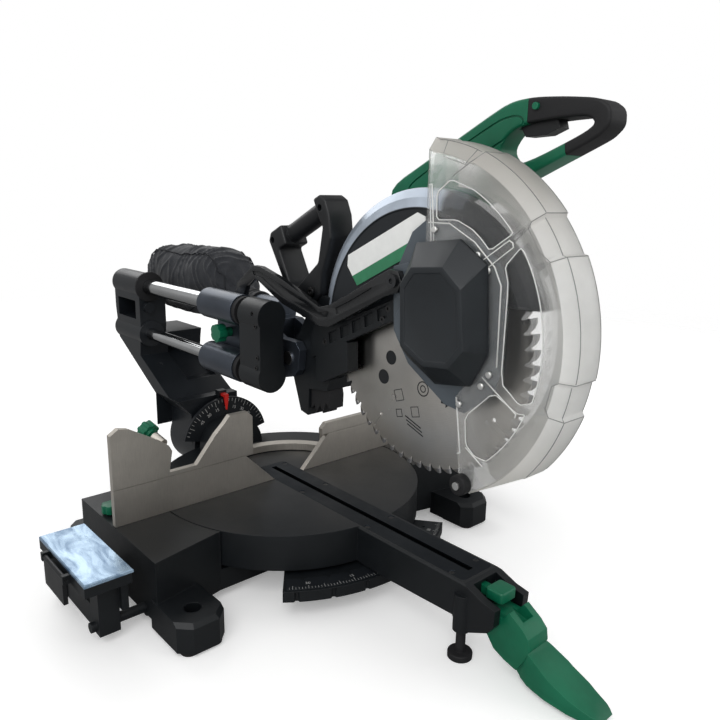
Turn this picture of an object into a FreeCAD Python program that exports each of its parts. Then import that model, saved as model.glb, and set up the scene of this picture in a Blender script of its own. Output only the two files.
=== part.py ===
import FreeCAD, Part
import math
import os

V = FreeCAD.Vector

# Table and base
TABLE_Z = 92.0
FLOOR_TOP = 40.0
FOOT_PITCH_X = 474.0
FOOT_PITCH_Y = 280.0
BENCH_HOLE_R = 4.5
BENCH_BOSS_R = 9.0
KNOB_P = (-193.3, 10.0, 184.7)
KNOB_Q = (-199.2, 36.0, 194.2)
LOW_KNOB_DROP = 18.0
# Turntable
DISC_R = 190.0
WELL_R = DISC_R + 2.0
SCALE_IN = WELL_R + 11.0
SCALE_OUT = WELL_R + 35.0
DISC_BOTTOM = 45.0
PIVOT_R = 14.0
ARM_HALF = 30.0
ARM_FRONT = -361.0
SLOT_HALF = 4.0
KERF_T = 5.0
FOOT_X = -26.0
FOOT_Y = -358.0
FOOT_ROD_R = 5.5
# Bevel axis, along Y
BEVEL_Z = 92.0
TRUNNION_R = 50.0
SCALE_R = 78.0
HUB_R = 54.0
HUB_Y0 = 185.0
HUB_Y1 = 270.0
BEVEL_BOLT_R = 9.0
# Rails
RAIL_X = -62.0
RAIL_UP_Z = 342.0
RAIL_LOW_Z = 263.0
RAIL_UP_R = 12.5
RAIL_LOW_R = 10.0
RAIL_FRONT = -48.0
RAIL_REAR = 396.0
LOBE_R = 21.8
SLIDE_GAP = 0.06
CARR_Y0 = 17.4
CARR_Y1 = 107.0
# Chop pivot and blade
PIVOT_Y = -40.0
PIVOT_Z = 282.0
CHOP_PIN_R = 7.0
NECK_REACH = 54.0
BLADE_R = 152.5
BLADE_T = 2.2
BLADE_BORE_R = 15.0
TEETH = 60
# Blade guards, and the arbor that they leave room for
GUARD_R = BLADE_R + 15.5
ARBOR_Y = PIVOT_Y - NECK_REACH - GUARD_R
ARBOR_Z = 340.0
GUARD_HALF = 18.0
HINGE_Y = ARBOR_Y - 8.0
HINGE_Z = ARBOR_Z + 20.0
CLEAR_R = GUARD_R + 30.0
CLEAR_X0 = -29.0
CLEAR_X1 = 21.0
CLEAR_T = 2.5
HINGE_R = 16.0
ROLLER_Y = HINGE_Y - 0.41414 * CLEAR_R
ROLLER_Z = HINGE_Z - 0.77778 * CLEAR_R
LINK_Y = ARBOR_Y + 14.0
LINK_Z = ARBOR_Z + 69.0
# Motor
MOTOR_Y = ARBOR_Y + 7.0
MOTOR_Z = ARBOR_Z + 90.0
MOTOR_R = 50.0
MOTOR_X0 = 46.0
MOTOR_X1 = 188.0
# Handle
HANDLE_X0 = 38.0
HANDLE_X1 = 70.0
HANDLE_MID = (HANDLE_X0 + HANDLE_X1) / 2
TRIGGER_HALF = 8.0
CARRY_HALF = 19.5
CARRY_BAR_R = 13.3
LOCK_OFF_Y = ARBOR_Y - 100.0
LOCK_OFF_Z = ARBOR_Z + 247.0
SPINDLE_Y = ARBOR_Y - 38.0
SPINDLE_Z = ARBOR_Z + 32.0
RUN = 0.06


def box(x0, x1, y0, y1, z0, z1):
    return Part.makeBox(x1 - x0, y1 - y0, z1 - z0, V(x0, y0, z0))


def cylx(y, z, r, x0, x1):
    return Part.makeCylinder(r, x1 - x0, V(x0, y, z), V(1, 0, 0))


def cyly(x, z, r, y0, y1):
    return Part.makeCylinder(r, y1 - y0, V(x, y0, z), V(0, 1, 0))


def cylz(x, y, r, z0, z1):
    return Part.makeCylinder(r, z1 - z0, V(x, y, z0), V(0, 0, 1))


def rod(p, q, r):
    d = V(*q) - V(*p)
    return Part.makeCylinder(r, d.Length, V(*p), d)


def cone(p, q, r0, r1):
    d = V(*q) - V(*p)
    return Part.makeCone(r0, r1, d.Length, V(*p), d)


def closed(points):
    return Part.Face(Part.makePolygon(points + [points[0]]))


def yz(pts, x0, x1):
    return closed([V(x0, y, z) for y, z in pts]).extrude(V(x1 - x0, 0, 0))


def xz(pts, y0, y1):
    return closed([V(x, y0, z) for x, z in pts]).extrude(V(0, y1 - y0, 0))


def xy(pts, z0, z1):
    return closed([V(x, y, z0) for x, y in pts]).extrude(V(0, 0, z1 - z0))


def shifted(pts, y, z, k=1.0):
    return [(y + k * a, z + k * b) for a, b in pts]


def flip_x(shape):
    return shape.mirror(V(0, 0, 0), V(1, 0, 0))


def joined(parts):
    out = parts[0]
    for p in parts[1:]:
        out = out.fuse(p)
    return out.removeSplitter()


def less(shape, cutters):
    for c in cutters:
        shape = shape.cut(c)
    return shape


def fillet(shape, r, want):
    edges = [e for e in shape.Edges if want(e)]
    if not edges:
        return shape
    return shape.makeFillet(r, edges)


def chamfer(shape, r, want):
    edges = [e for e in shape.Edges if want(e)]
    if not edges:
        return shape
    return shape.makeChamfer(r, edges)


def along(e, axis):
    a = e.Vertexes[0].Point
    b = e.Vertexes[-1].Point
    d = b - a
    if d.Length < 1e-6:
        return False
    return abs(d.dot(V(*axis))) > 0.999 * d.Length


def sector_xy(r0, r1, a0, a1, z0, z1):
    ring = cylz(0, 0, r1, z0, z1).cut(cylz(0, 0, r0, z0 - 1, z1 + 1))
    far = 3.0 * r1
    n = max(2, int(abs(a1 - a0) / 45.0) + 1)
    fan = [(0.0, 0.0)]
    for i in range(n + 1):
        a = math.radians(a0 + (a1 - a0) * i / n)
        fan.append((far * math.cos(a), far * math.sin(a)))
    return ring.common(xy(fan, z0 - 1, z1 + 1))


def sector_xz(cx, cz, r0, r1, a0, a1, y0, y1):
    ring = cyly(cx, cz, r1, y0, y1).cut(cyly(cx, cz, r0, y0 - 1, y1 + 1))
    far = 3.0 * r1
    n = max(2, int(abs(a1 - a0) / 45.0) + 1)
    fan = [(cx, cz)]
    for i in range(n + 1):
        a = math.radians(a0 + (a1 - a0) * i / n)
        fan.append((cx + far * math.cos(a), cz + far * math.sin(a)))
    return ring.common(xz(fan, y0 - 1, y1 + 1))


def turned_x(profile, y, z):
    pts = [V(x, y, z + r) for x, r in profile]
    face = closed(pts)
    return face.revolve(V(0, y, z), V(1, 0, 0), 360)


def knob(p, axis, r, t, lobes=6):
    d = V(*axis)
    d.normalize()
    body = Part.makeCylinder(r, t, V(*p), d)
    u = d.cross(V(0, 0, 1))
    if u.Length < 0.1:
        u = d.cross(V(1, 0, 0))
    u.normalize()
    w = d.cross(u)
    for i in range(lobes):
        a = 2 * math.pi * i / lobes
        c = V(*p) + u * (r * 1.22 * math.cos(a)) + w * (r * 1.22 * math.sin(a)) - d
        body = body.cut(Part.makeCylinder(r * 0.36, t + 2, c, d))
    return body


def feet():
    out = []
    for sx in (-1, 1):
        x0 = 207.0
        x1 = 267.0
        front = box(x0, x1, -172, -96, 4, FLOOR_TOP)
        front = chamfer(front, 14, lambda e: along(e, (0, 0, 1)) and e.Vertexes[0].Y < -170)
        front = chamfer(front, 5, lambda e: abs(e.BoundBox.ZMin - FLOOR_TOP) < 0.01 and
                        e.BoundBox.YMax < -157)
        rear = box(x0, x1, 100, 170, 4, 34)
        rear = chamfer(rear, 12, lambda e: along(e, (0, 0, 1)) and e.Vertexes[0].Y > 168)
        pair = front.fuse(rear)
        out.append(pair if sx > 0 else flip_x(pair))
    return out


def base_casting():
    deck = [(-265, -110), (-172, -90), (172, -90), (265, -110), (265, 110), (205, 110), (166, 72),
            (-166, 72), (-205, 110), (-265, 110)]
    body = xy(deck, 12, TABLE_Z)
    body = body.cut(cylz(0, 0, WELL_R, FLOOR_TOP, 120))
    inner = [(-257, -101), (-190, -84), (190, -84), (257, -101), (257, 102), (208, 102), (172, 68),
             (-172, 68), (-208, 102), (-257, 102)]
    under = xy(inner, 0, 30)
    body = body.cut(under)
    for sx in (-1, 1):
        pocket = xy([(200, -86), (257, -99), (257, 100), (212, 98), (200, 84)], 0, 84)
        pocket = pocket.cut(cylz(0, 0, WELL_R + 6, 0, 100))
        rib = box(198, 260, -3, 3, 30, 84)
        pocket = pocket.cut(rib)
        body = body.cut(pocket if sx > 0 else flip_x(pocket))
    apron = sector_xy(60, SCALE_OUT + 2, -128, -52, 26, FLOOR_TOP)
    parts = [body, apron] + feet()
    parts.append(cylz(0, 0, 32, 14, FLOOR_TOP + 4.5))
    parts.append(cylz(0, 0, PIVOT_R, FLOOR_TOP, 63.8))
    for a in (0, 60, 120, 180, 240, 300):
        c = math.cos(math.radians(a + 30))
        s = math.sin(math.radians(a + 30))
        n = (-s * 3.0, c * 3.0)
        pts = [(30 * c + n[0], 30 * s + n[1]), (96 * c + n[0], 96 * s + n[1]),
               (96 * c - n[0], 96 * s - n[1]), (30 * c - n[0], 30 * s - n[1])]
        parts.append(xy(pts, 20, 31))
    for sx in (-1, 1):
        for y in (-75, 44):
            boss = cylx(y, 20, 11, 236, 265)
            parts.append(boss if sx > 0 else flip_x(boss))
        for sy in (-1, 1):
            parts.append(cylz(sx * FOOT_PITCH_X / 2, sy * FOOT_PITCH_Y / 2, BENCH_BOSS_R, 0, 24))
    body = joined(parts)
    cuts = []
    for sx in (-1, 1):
        for y in (-75, 44):
            bore = cylx(y, 20, 6 + RUN, 60, 280)
            cuts.append(bore if sx > 0 else flip_x(bore))
        for sy in (-1, 1):
            cx = sx * FOOT_PITCH_X / 2
            cy = sy * FOOT_PITCH_Y / 2
            cuts.append(cylz(cx, cy, BENCH_HOLE_R, -1, 60))
            cuts.append(cylz(cx, cy, 10, 24, 60))
        for fx in (206, 236):
            cuts.append(cylz(sx * fx, 26, 3.2, 80, 100))
        cuts.append(cylz(sx * 252, 44, 4 + RUN, 80, 100))
    for i in range(9):
        a = math.radians(-90 + (i - 4) * 11.25)
        r = SCALE_OUT + 2
        cuts.append(cylz(r * math.cos(a), r * math.sin(a), 3.0, 20, 39))
    body = less(body, cuts)
    return body


def rubber_feet():
    pads = []
    for sx in (-1, 1):
        for y0, y1 in ((-168, -112), (108, 166)):
            pad = box(212, 262, y0, y1, 0, 3.9)
            pad = fillet(pad, 10, lambda e: along(e, (0, 0, 1)))
            hole_y = FOOT_PITCH_Y / 2 * (1 if y0 > 0 else -1)
            pad = pad.cut(cylz(FOOT_PITCH_X / 2, hole_y, BENCH_BOSS_R + 0.4, -1, 5))
            pads.append(pad if sx > 0 else flip_x(pad))
    return Part.makeCompound(pads)


def mitre_scale():
    plate = sector_xy(SCALE_IN, SCALE_OUT, -127, -53, FLOOR_TOP, FLOOR_TOP + 1.4)
    for a in (-47, -45, -31.6, -22.5, -15, 0, 15, 22.5, 31.6, 45, 47):
        t = math.radians(a - 90)
        r = SCALE_IN + 1
        plate = plate.cut(cylz(r * math.cos(t), r * math.sin(t), 3.0, 30, 50))
    return plate


def fence_side():
    plate = xz([(-264, 92.3), (-264, 140), (-74, 140), (-26, 92.3)], 0, 8)
    pads = [box(-240.5, -194, 7, 34, 92.3, 102)]
    for x in (-206, -236):
        pads.append(cylz(x, 26, 9, TABLE_Z, 92.5))
    for x in (-190, -150, -110):
        gusset = yz([(7, 93.2), (7, 110), (40, 93.2)], x - 3, x + 3)
        pads.append(gusset.common(box(-300, 0, 0, 34, 90, 120)))
    return plate, pads


def fence_fixed():
    plate, pads = fence_side()
    left = joined([plate] + pads)
    right = flip_x(left)
    arc = sector_xy(100, 116, 3, 177, 93.2, 104)
    fence = joined([left, right, arc])
    holes = []
    for sx in (-1, 1):
        for x in (206, 236):
            holes.append(cylz(sx * x, 26, 3.2, 80, 110))
    fence = less(fence, holes)
    return fence


def fence_bolts():
    out = []
    for sx in (-1, 1):
        for x in (206, 236):
            head = cylz(sx * x, 26, 5.5, 102, 108)
            head = head.cut(cylz(sx * x, 26, 2.6, 105, 110))
            out.append(head.fuse(cylz(sx * x, 26, 3.1, 84, 103)))
    return Part.makeCompound(out)


TALL_FENCE = [(-264, 140.5), (-264, 211), (-253, 218), (-240, 215), (-198, 190), (-188, 182), (-184, 174),
              (-189, 146), (-150, 146), (-120, 182), (-108, 193), (-98, 204), (-70, 204), (-62, 196),
              (-62, 140.5)]
LOW_FENCE = [(-264, 140.5), (-264, 170), (-256, 177), (-214, 177), (-200, 172), (-176, 158), (-70, 158),
             (-62, 150), (-62, 140.5)]


def knob_axis(drop):
    p = V(*KNOB_P) - V(0, 0, drop)
    d = V(*KNOB_Q) - V(*KNOB_P)
    d.normalize()
    return p, d


def sliding_fence(outline, drop):
    front = xz(outline, 0, 8)
    leg = box(-256, -70, 8.6, 16.4, 112, 142)
    bridge = box(-256, -186, 5, 16.4, 140.5, 142)
    bridge2 = box(-146, -70, 5, 16.4, 140.5, 142)
    rib = yz([(7, 141), (16.4, 141), (7, 170)], -236, -230)
    rib2 = yz([(7, 141), (16.4, 141), (7, 156)], -104, -98)
    p, d = knob_axis(drop)
    boss = Part.makeCylinder(6.5, 18.2, p - d * 3.5, d)
    body = joined([front, leg, bridge, bridge2, rib, rib2, boss])
    body = body.cut(box(-300, 0, -10, 0, 100, 250))
    return body.cut(Part.makeCylinder(3.3 + RUN, 60, p - d * 1.0, d))


def fence_knob(drop):
    p, d = knob_axis(drop)
    stem = Part.makeCylinder(3.3, 24, p, d)
    grip = knob(tuple(p + d * 22), tuple(d), 13.0, 13.0, 8)
    collar = Part.makeCylinder(7.5, 4, p + d * 18.5, d)
    return joined([stem, collar, grip])


def turntable():
    disc = cylz(0, 0, DISC_R, DISC_BOTTOM, TABLE_Z)
    hollow = cylz(0, 0, DISC_R - 12, DISC_BOTTOM - 1, 84).cut(cylz(0, 0, 34, 0, 100))
    for a in range(0, 180, 45):
        rib = box(-185, 185, -4, 4, 50, 90)
        rib.rotate(V(0, 0, 0), V(0, 0, 1), a + 22.5)
        hollow = hollow.cut(rib)
    arm_pts = [(-150, 92), (ARM_FRONT, 92), (-387, 82), (-404, 79), (-403, 60), (-396, 50),
               (-372, 38), (-352, 38), (-347, 48), (-300, 46), (-232, 43.4), (-150, 45)]
    arm = yz(arm_pts, -ARM_HALF, ARM_HALF)
    spine = box(-ARM_HALF, ARM_HALF, -170, 70, 50, 90)
    trunnion = cyly(0, BEVEL_Z, TRUNNION_R, 146, 176)
    block = box(-46, 46, 130, 176, 46, 92)
    body = disc.cut(hollow).cut(box(-120, 120, HUB_Y0 - 2, 200, 40, 100))
    boss = cylz(FOOT_X, FOOT_Y, 10, 34, 78)
    body = joined([body, arm, spine, trunnion, block, boss, bevel_bolt()])
    cuts = [cylz(0, 0, PIVOT_R + RUN, 30, 72)]
    cuts.append(box(-17, 17, -350, 46, 64, 100))
    recess = box(-25.6, 25.6, -357.1, 50.1, TABLE_Z - KERF_T, 100)
    recess = fillet(recess, 6.1, lambda e: along(e, (0, 0, 1)))
    cuts.append(recess)
    cuts.append(box(-20, 20, -420, -366, 20, 120))
    cuts.append(box(-5.4, 5.4, -367, -356, 64, 86.8))
    cuts.append(box(-24, 24, -344, -200, 36, 56))
    cuts.append(cylz(FOOT_X, FOOT_Y, FOOT_ROD_R + RUN, 20, 74))
    for sx in (-1, 1):
        for y in (-336, -196, -60, 40):
            cuts.append(cylz(sx * 21, y, 2.1, 74, 100))
    body = less(body, cuts)
    body = body.fuse(cylx(-385, 55, 3.0, -ARM_HALF, ARM_HALF))
    body = chamfer(body, 2.0, lambda e: abs(e.BoundBox.ZMin - TABLE_Z) < 0.01 and
                   abs(e.BoundBox.ZMax - TABLE_Z) < 0.01 and along(e, (0, 1, 0)) and
                   abs(abs(e.BoundBox.XMin) - ARM_HALF) < 0.01)
    return body


def kerf_plate():
    plate = box(-25.4, 25.4, -357, 50, TABLE_Z - KERF_T, TABLE_Z)
    plate = fillet(plate, 6, lambda e: along(e, (0, 0, 1)))
    slot = xz([(-SLOT_HALF, 93), (-SLOT_HALF, 91), (-9, 86), (9, 86), (SLOT_HALF, 91), (SLOT_HALF, 93)],
              -346, 40)
    plate = plate.cut(slot)
    for sx in (-1, 1):
        for y in (-336, -196, -60, 40):
            plate = plate.cut(cylz(sx * 21, y, 2.1, 80, 100))
            plate = plate.cut(cone((sx * 21, y, 90), (sx * 21, y, 92.01), 2.1, 4.1))
    return plate


def kerf_screws():
    out = []
    for sx in (-1, 1):
        for y in (-336, -196, -60, 40):
            s = cylz(sx * 21, y, 2.0, 76, 90.4)
            h = cone((sx * 21, y, 90), (sx * 21, y, 91.4), 2.0, 3.3)
            s = s.fuse(h)
            s = s.cut(box(sx * 21 - 2.2, sx * 21 + 2.2, y - 0.4, y + 0.4, 90.6, 92))
            out.append(s)
    return Part.makeCompound(out)


def bevel_scale():
    ring = sector_xz(0, BEVEL_Z, 46, SCALE_R, 14, 166, 176.05, 182)
    for a in (30, 90, 150):
        t = math.radians(a)
        ring = ring.cut(cyly(50 * math.cos(t), BEVEL_Z + 50 * math.sin(t), 1.6, 170, 190))
    return ring


def bevel_bolt():
    shank = cyly(0, BEVEL_Z, BEVEL_BOLT_R - RUN, 140, 298)
    hexa = []
    for i in range(6):
        a = math.radians(60 * i)
        hexa.append((17 * math.cos(a), BEVEL_Z + 17 * math.sin(a)))
    head = xz(hexa, 136, 145.9)
    return joined([shank, head])


def levelling_foot():
    shaft = cylz(FOOT_X, FOOT_Y, FOOT_ROD_R, 4, 56)
    rings = []
    for i in range(12):
        rings.append(Part.makeTorus(FOOT_ROD_R + 0.55, 0.75, V(FOOT_X, FOOT_Y, 13 + 1.75 * i), V(0, 0, 1)))
    disc = cylz(FOOT_X, FOOT_Y, 14, 0, 7)
    disc = fillet(disc, 1.5, lambda e: abs(e.BoundBox.ZMin - 7) < 0.01)
    body = shaft.fuse(disc)
    for t in rings:
        body = body.cut(t)
    return body


def mitre_lock_handle():
    hub = cylx(-385, 55, 11.5, -17.5, 17.5)
    ears = yz([(-380, 46), (-385, 66), (-405, 66), (-413, 77), (-430, 66), (-438, 58), (-440, 46),
               (-434, 30), (-426, 16), (-410, 20), (-396, 26)], -17, 17)
    notch = yz([(-390, 70), (-402, 64), (-420, 60), (-432, 80), (-400, 90)], -9, 9)
    ears = ears.cut(notch)
    top = yz([(-418, 50), (-430, 47), (-446, 40), (-470, 28), (-500, 17), (-518, 12), (-522, 9),
              (-518, 5), (-500, 4), (-450, 6), (-430, 8), (-418, 20)], -60, 60)
    plan = xy([(-14, -412), (14, -412), (13, -428), (18, -441), (21, -464), (20, -490), (15, -513), (8, -526),
               (-8, -526), (-15, -513), (-20, -490), (-21, -464), (-18, -441), (-13, -428)], -10, 100)
    paddle = top.common(plan)
    paddle = chamfer(paddle, 2.5, lambda e: e.BoundBox.YMax < -440 and e.BoundBox.ZMax > 18 and
                     abs(e.BoundBox.XMin - e.BoundBox.XMax) < 8 and e.BoundBox.YLength > 20)
    body = joined([hub, ears, paddle])
    body = body.cut(cylx(-385, 55, 3.0 + RUN, -30, 30))
    return body


def detent_button():
    cap = box(-13, 13, -400, -377, 78, 90)
    cap = fillet(cap, 4, lambda e: along(e, (0, 0, 1)))
    cap = chamfer(cap, 1.5, lambda e: abs(e.BoundBox.ZMin - 90) < 0.01 and abs(e.BoundBox.ZMax - 90) < 0.01)
    tongue = box(-5, 5, -378, -358, 74, 84)
    return joined([cap, tongue])


def extension_left():
    plate_frame = box(-343, -290, -105, 38, 76, 88)
    plate_frame = plate_frame.cut(box(-338, -294, -100, 33, 70, 84))
    plate_frame = plate_frame.cut(box(-300, -289, -60, 0, 75, 84))
    legs = []
    for y in (-75, 30):
        legs.append(box(-324, -300, y - 13, y + 11, 12, 78))
    legs.append(box(-300, -292, -96, -60, 40, 78))
    web = box(-322, -314, -75, 40, 12, 40)
    rods = [cylx(-75, 20, 6, -330, -118), cylx(44, 20, 6, -330, -118)]
    legs.append(box(-324, -300, 28, 56, 8, 34))
    lugs = [box(-352, -342, -66, -60.5, 78, 88), box(-352, -342, 0.5, 6, 78, 88)]
    body = joined([plate_frame] + legs + [web] + rods + lugs)
    body = body.cut(cyly(-348.5, 83, 2.2, -70, 10))
    return body


def extension_plate():
    plate = box(-343, -288, -105, 38, 88, TABLE_Z)
    plate = chamfer(plate, 1.2, lambda e: abs(e.BoundBox.ZMin - TABLE_Z) < 0.01)
    return plate


def flip_stop():
    flap = box(-351, -346, -60, 0, 50, 83)
    flap = flap.fuse(cyly(-348.5, 83, 3, -60, 0))
    flap = flap.fuse(cyly(-348.5, 83, 2.1, -65.5, 5.5))
    return flap.removeSplitter()


def extension_knob():
    stem = cylz(-252, 44, 4, 84.5, 96)
    grip = knob((-252, 44, 94), (0, 0, 1), 11, 11, 6)
    return joined([stem, grip])


def bevel_arm():
    prof = [(306, 345), (306, 278), (313, 226), (192, 162), (190, 118), (262, 118), (262, 172),
            (394, 246), (402, 300), (402, 345)]
    left = yz(prof, -80, -34)
    low = yz([(306, 262), (309, 250), (313, 226), (192, 162), (190, 118), (262, 118), (262, 172),
              (394, 246), (397, 262)], -36, 32)
    notch = xz([(-90, 80), (-50, 80), (-50, 143), (-58, 151), (-81, 175), (-90, 175)], 180, 260)
    left = left.cut(notch)
    hub = cyly(0, BEVEL_Z, HUB_R, HUB_Y0, HUB_Y1)
    skirt = xz([(-54, 92), (54, 92), (32, 150), (32, 172), (-76, 172), (-54, 148)], 192, HUB_Y1 - 8)
    sockets = [cyly(RAIL_X, RAIL_UP_Z, LOBE_R, 306, 402), cyly(RAIL_X, RAIL_LOW_Z, LOBE_R, 303, 402)]
    boss = cyly(-65, 308, 9, 299, 310)
    lug = box(-7, 7, 184.2, 196, 150, 180)
    body = joined([left, low, hub, skirt, lug, boss] + sockets)
    pocket = box(-90, -46, 322, 390, 287, 318)
    back = yz([(330, 254), (320, 240), (236, 196), (240, 190), (262, 190), (372, 250), (385, 254)], -30, 24)
    cuts = [pocket]
    cuts.append(cyly(RAIL_X, RAIL_UP_Z, RAIL_UP_R, 290, 398))
    cuts.append(cyly(RAIL_X, RAIL_LOW_Z, RAIL_LOW_R, 290, 398))
    cuts.append(cyly(0, BEVEL_Z, BEVEL_BOLT_R, 180, 300))
    cuts.append(back)
    n = V(0, -0.4675, 0.8840)
    cuts.append(Part.makeCylinder(5, 4, V(-58, 288, 212.8) - n * 1.5, n))
    body = less(body, cuts)
    return body


def bevel_pointer():
    stem = box(-4, 4, 173, 184.1, 171.4, 176)
    tip = xz([(-4, 176), (4, 176), (4, 168), (1.0, 150), (-1.0, 150), (-4, 168)], 172.6, 174.6)
    return joined([stem, tip])


def rail(z, r):
    body = cyly(RAIL_X, z, r, RAIL_FRONT, RAIL_REAR)
    return body


CLAMP_SCREWS = [(-36, 347), (-40, 331), (-44, 290), (-41, 276)]


def rail_end_bracket():
    lobes = [cyly(RAIL_X, RAIL_UP_Z, LOBE_R, -50, -2), cyly(RAIL_X, RAIL_LOW_Z, LOBE_R, -50, -2)]
    waist = box(-81, -44, -50, -2, RAIL_LOW_Z, RAIL_UP_Z)
    collars = [cyly(RAIL_X, RAIL_UP_Z, 15, -3, 9), cyly(RAIL_X, RAIL_LOW_Z, 15, -3, 9)]
    body = joined(lobes + [waist] + collars)
    body = body.cut(cyly(RAIL_X, RAIL_UP_Z, RAIL_UP_R, RAIL_FRONT, 20))
    body = body.cut(cyly(RAIL_X, RAIL_LOW_Z, RAIL_LOW_R, RAIL_FRONT, 20))
    for y, z in CLAMP_SCREWS:
        body = body.cut(cylx(y, z, 3.2, -90, -76))
    return body


def rail_bumpers():
    out = []
    for z, r in ((RAIL_UP_Z, RAIL_UP_R), (RAIL_LOW_Z, RAIL_LOW_R)):
        ring = cyly(RAIL_X, z, 20, 9.05, 17.0)
        out.append(ring.cut(cyly(RAIL_X, z, r, 0, 20)))
    ring = cyly(RAIL_X, RAIL_UP_Z, 24.5, 302.4, 305.9)
    out.append(ring.cut(cyly(RAIL_X, RAIL_UP_Z, RAIL_UP_R, 300, 310)))
    return Part.makeCompound(out)


def set_screws():
    out = []
    for y, z in CLAMP_SCREWS:
        s = cylx(y, z, 3.1, -82, -76.1)
        s = s.cut(cylx(y, z, 1.5, -84, -79.5))
        out.append(s)
    return Part.makeCompound(out)


def bevel_lock_lever():
    hub = cyly(0, BEVEL_Z, 17, 272, 292)
    lever = xz([(0, 82), (10, 80), (78, 84), (92, 86), (96, 92), (92, 98), (78, 100), (10, 104), (0, 102)],
               276, 288)
    body = joined([hub, lever])
    return body.cut(cyly(0, BEVEL_Z, BEVEL_BOLT_R, 260, 300))


def carriage():
    barrels = [cyly(RAIL_X, z, LOBE_R, CARR_Y0, CARR_Y1) for z in (RAIL_UP_Z, RAIL_LOW_Z)]
    block = box(-50, -28, 20, CARR_Y1, 246, 330)
    wall = box(-29, 40, 24, 62, 246, 322)
    cheek = [(-60, 268), (-50, 258), (-20, 250), (0, 246), (62, 246), (62, 322), (20, 322), (-20, 306),
             (-55, 306), (-64, 296)]
    left = yz(cheek, -28, -16)
    right = yz(cheek, 28, 40)
    port = cyly(30, 325, 21, 50, 130)
    body = joined(barrels + [block, wall, left, right, port])
    cuts = [cyly(RAIL_X, RAIL_UP_Z, RAIL_UP_R + SLIDE_GAP, 0, 120)]
    cuts.append(cyly(RAIL_X, RAIL_LOW_Z, RAIL_LOW_R + SLIDE_GAP, 0, 120))
    cuts.append(cylx(PIVOT_Y, PIVOT_Z, CHOP_PIN_R, -40, 60))
    cuts.append(cyly(30, 325, 18, 64, 140))
    cuts.append(cylx(-18, 294, 4 + RUN, 20, 60))
    cuts.append(cylx(72, 303, 4 + RUN, -60, -36))
    cuts.append(box(-26, -14, 66, 110, 200, 400))
    body = less(body, cuts)
    return body


def chop_pin():
    shank = cylx(PIVOT_Y, PIVOT_Z, CHOP_PIN_R, -28, 40)
    cap = cylx(PIVOT_Y, PIVOT_Z, 10, 40, 45)
    cap2 = cylx(PIVOT_Y, PIVOT_Z, 9, -29.9, -28)
    return joined([shank, cap, cap2])


def slide_lock_knob():
    stem = cylx(72, 303, 4, -62, -38)
    collar = cylx(72, 303, 7, -62, -50.4)
    grip = knob((-62, 72, 303), (-1, 0, 0), 13, 13, 5)
    return joined([stem, collar, grip])


def dust_bag():
    prof = [(150, 324), (150, 372), (202, 412), (409, 410), (447, 377), (438, 325), (377, 283), (278, 284),
            (236, 322)]
    bag = yz(prof, -18, 78)
    bag = fillet(bag, 16, lambda e: not along(e, (1, 0, 0)))
    neck = cyly(30, 325, 25, 112, 156)
    body = joined([bag, neck])
    body = body.cut(cyly(30, 325, 21 + RUN, 100, 132))
    return body


def head_lock_pin():
    pin = cylx(-18, 294, 4, 28.2, 60)
    grip = knob((52, -18, 294), (1, 0, 0), 9, 12, 6)
    return joined([pin, grip])


def guard_outer():
    low = GUARD_R - 21
    mid = GUARD_R - 10
    return turned_x([(-GUARD_HALF, 0), (-GUARD_HALF, low), (-14, mid), (-7, GUARD_R), (7, GUARD_R),
                     (14, mid), (GUARD_HALF, low), (GUARD_HALF, 0)], ARBOR_Y, ARBOR_Z)


GUARD_EDGE = shifted([(202, -18), (161, -32), (30, 31), (16, 5), (0, -14), (-22, -10), (-38, 12),
                      (-68, 56), (-198, 56), (-198, 220), (202, 220)], ARBOR_Y, ARBOR_Z)


def upper_guard():
    outer = guard_outer()
    low = GUARD_R - 24
    top = GUARD_R - 7
    inner = turned_x([(-15, 0), (-15, low), (-5, top), (5, top), (15, low), (15, 0)], ARBOR_Y, ARBOR_Z)
    shell = outer.cut(inner)
    body = shell.common(yz(GUARD_EDGE, -30, 30))
    face = turned_x([(-19, 0), (-19, GUARD_R - 20.4), (-16.8, GUARD_R - 22.6), (-16.8, 0)], ARBOR_Y, ARBOR_Z)
    body = body.cut(face)
    spacer = cylx(ARBOR_Y, ARBOR_Z, 30, 15, 22.4)
    body = body.fuse(spacer)
    body = body.cut(cylx(ARBOR_Y, ARBOR_Z, 12, 10, 30))
    body = body.cut(cylx(HINGE_Y, HINGE_Z, 6, -30, -10))
    return body.removeSplitter()


LABEL = shifted([(114, 88), (115, 75), (97, 53), (-14, 108), (-10, 138), (2, 142)], ARBOR_Y, ARBOR_Z)


def label_plate():
    plate = yz(LABEL, -18.1, -16.8)
    return plate


ARM_TIP = shifted([(18, -14), (-6, -22), (-22, -4), (-16, 18), (8, 26), (34, 26)], HINGE_Y, HINGE_Z)
RIB_ARM = [(-84, 290), (-232, 361)] + ARM_TIP + [(-118, 336), (-92, 336), (-84, 318)]
ARM_SCREWS = shifted([(45, 14), (54, 0)], HINGE_Y, HINGE_Z) + [(-112, 316)]


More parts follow.
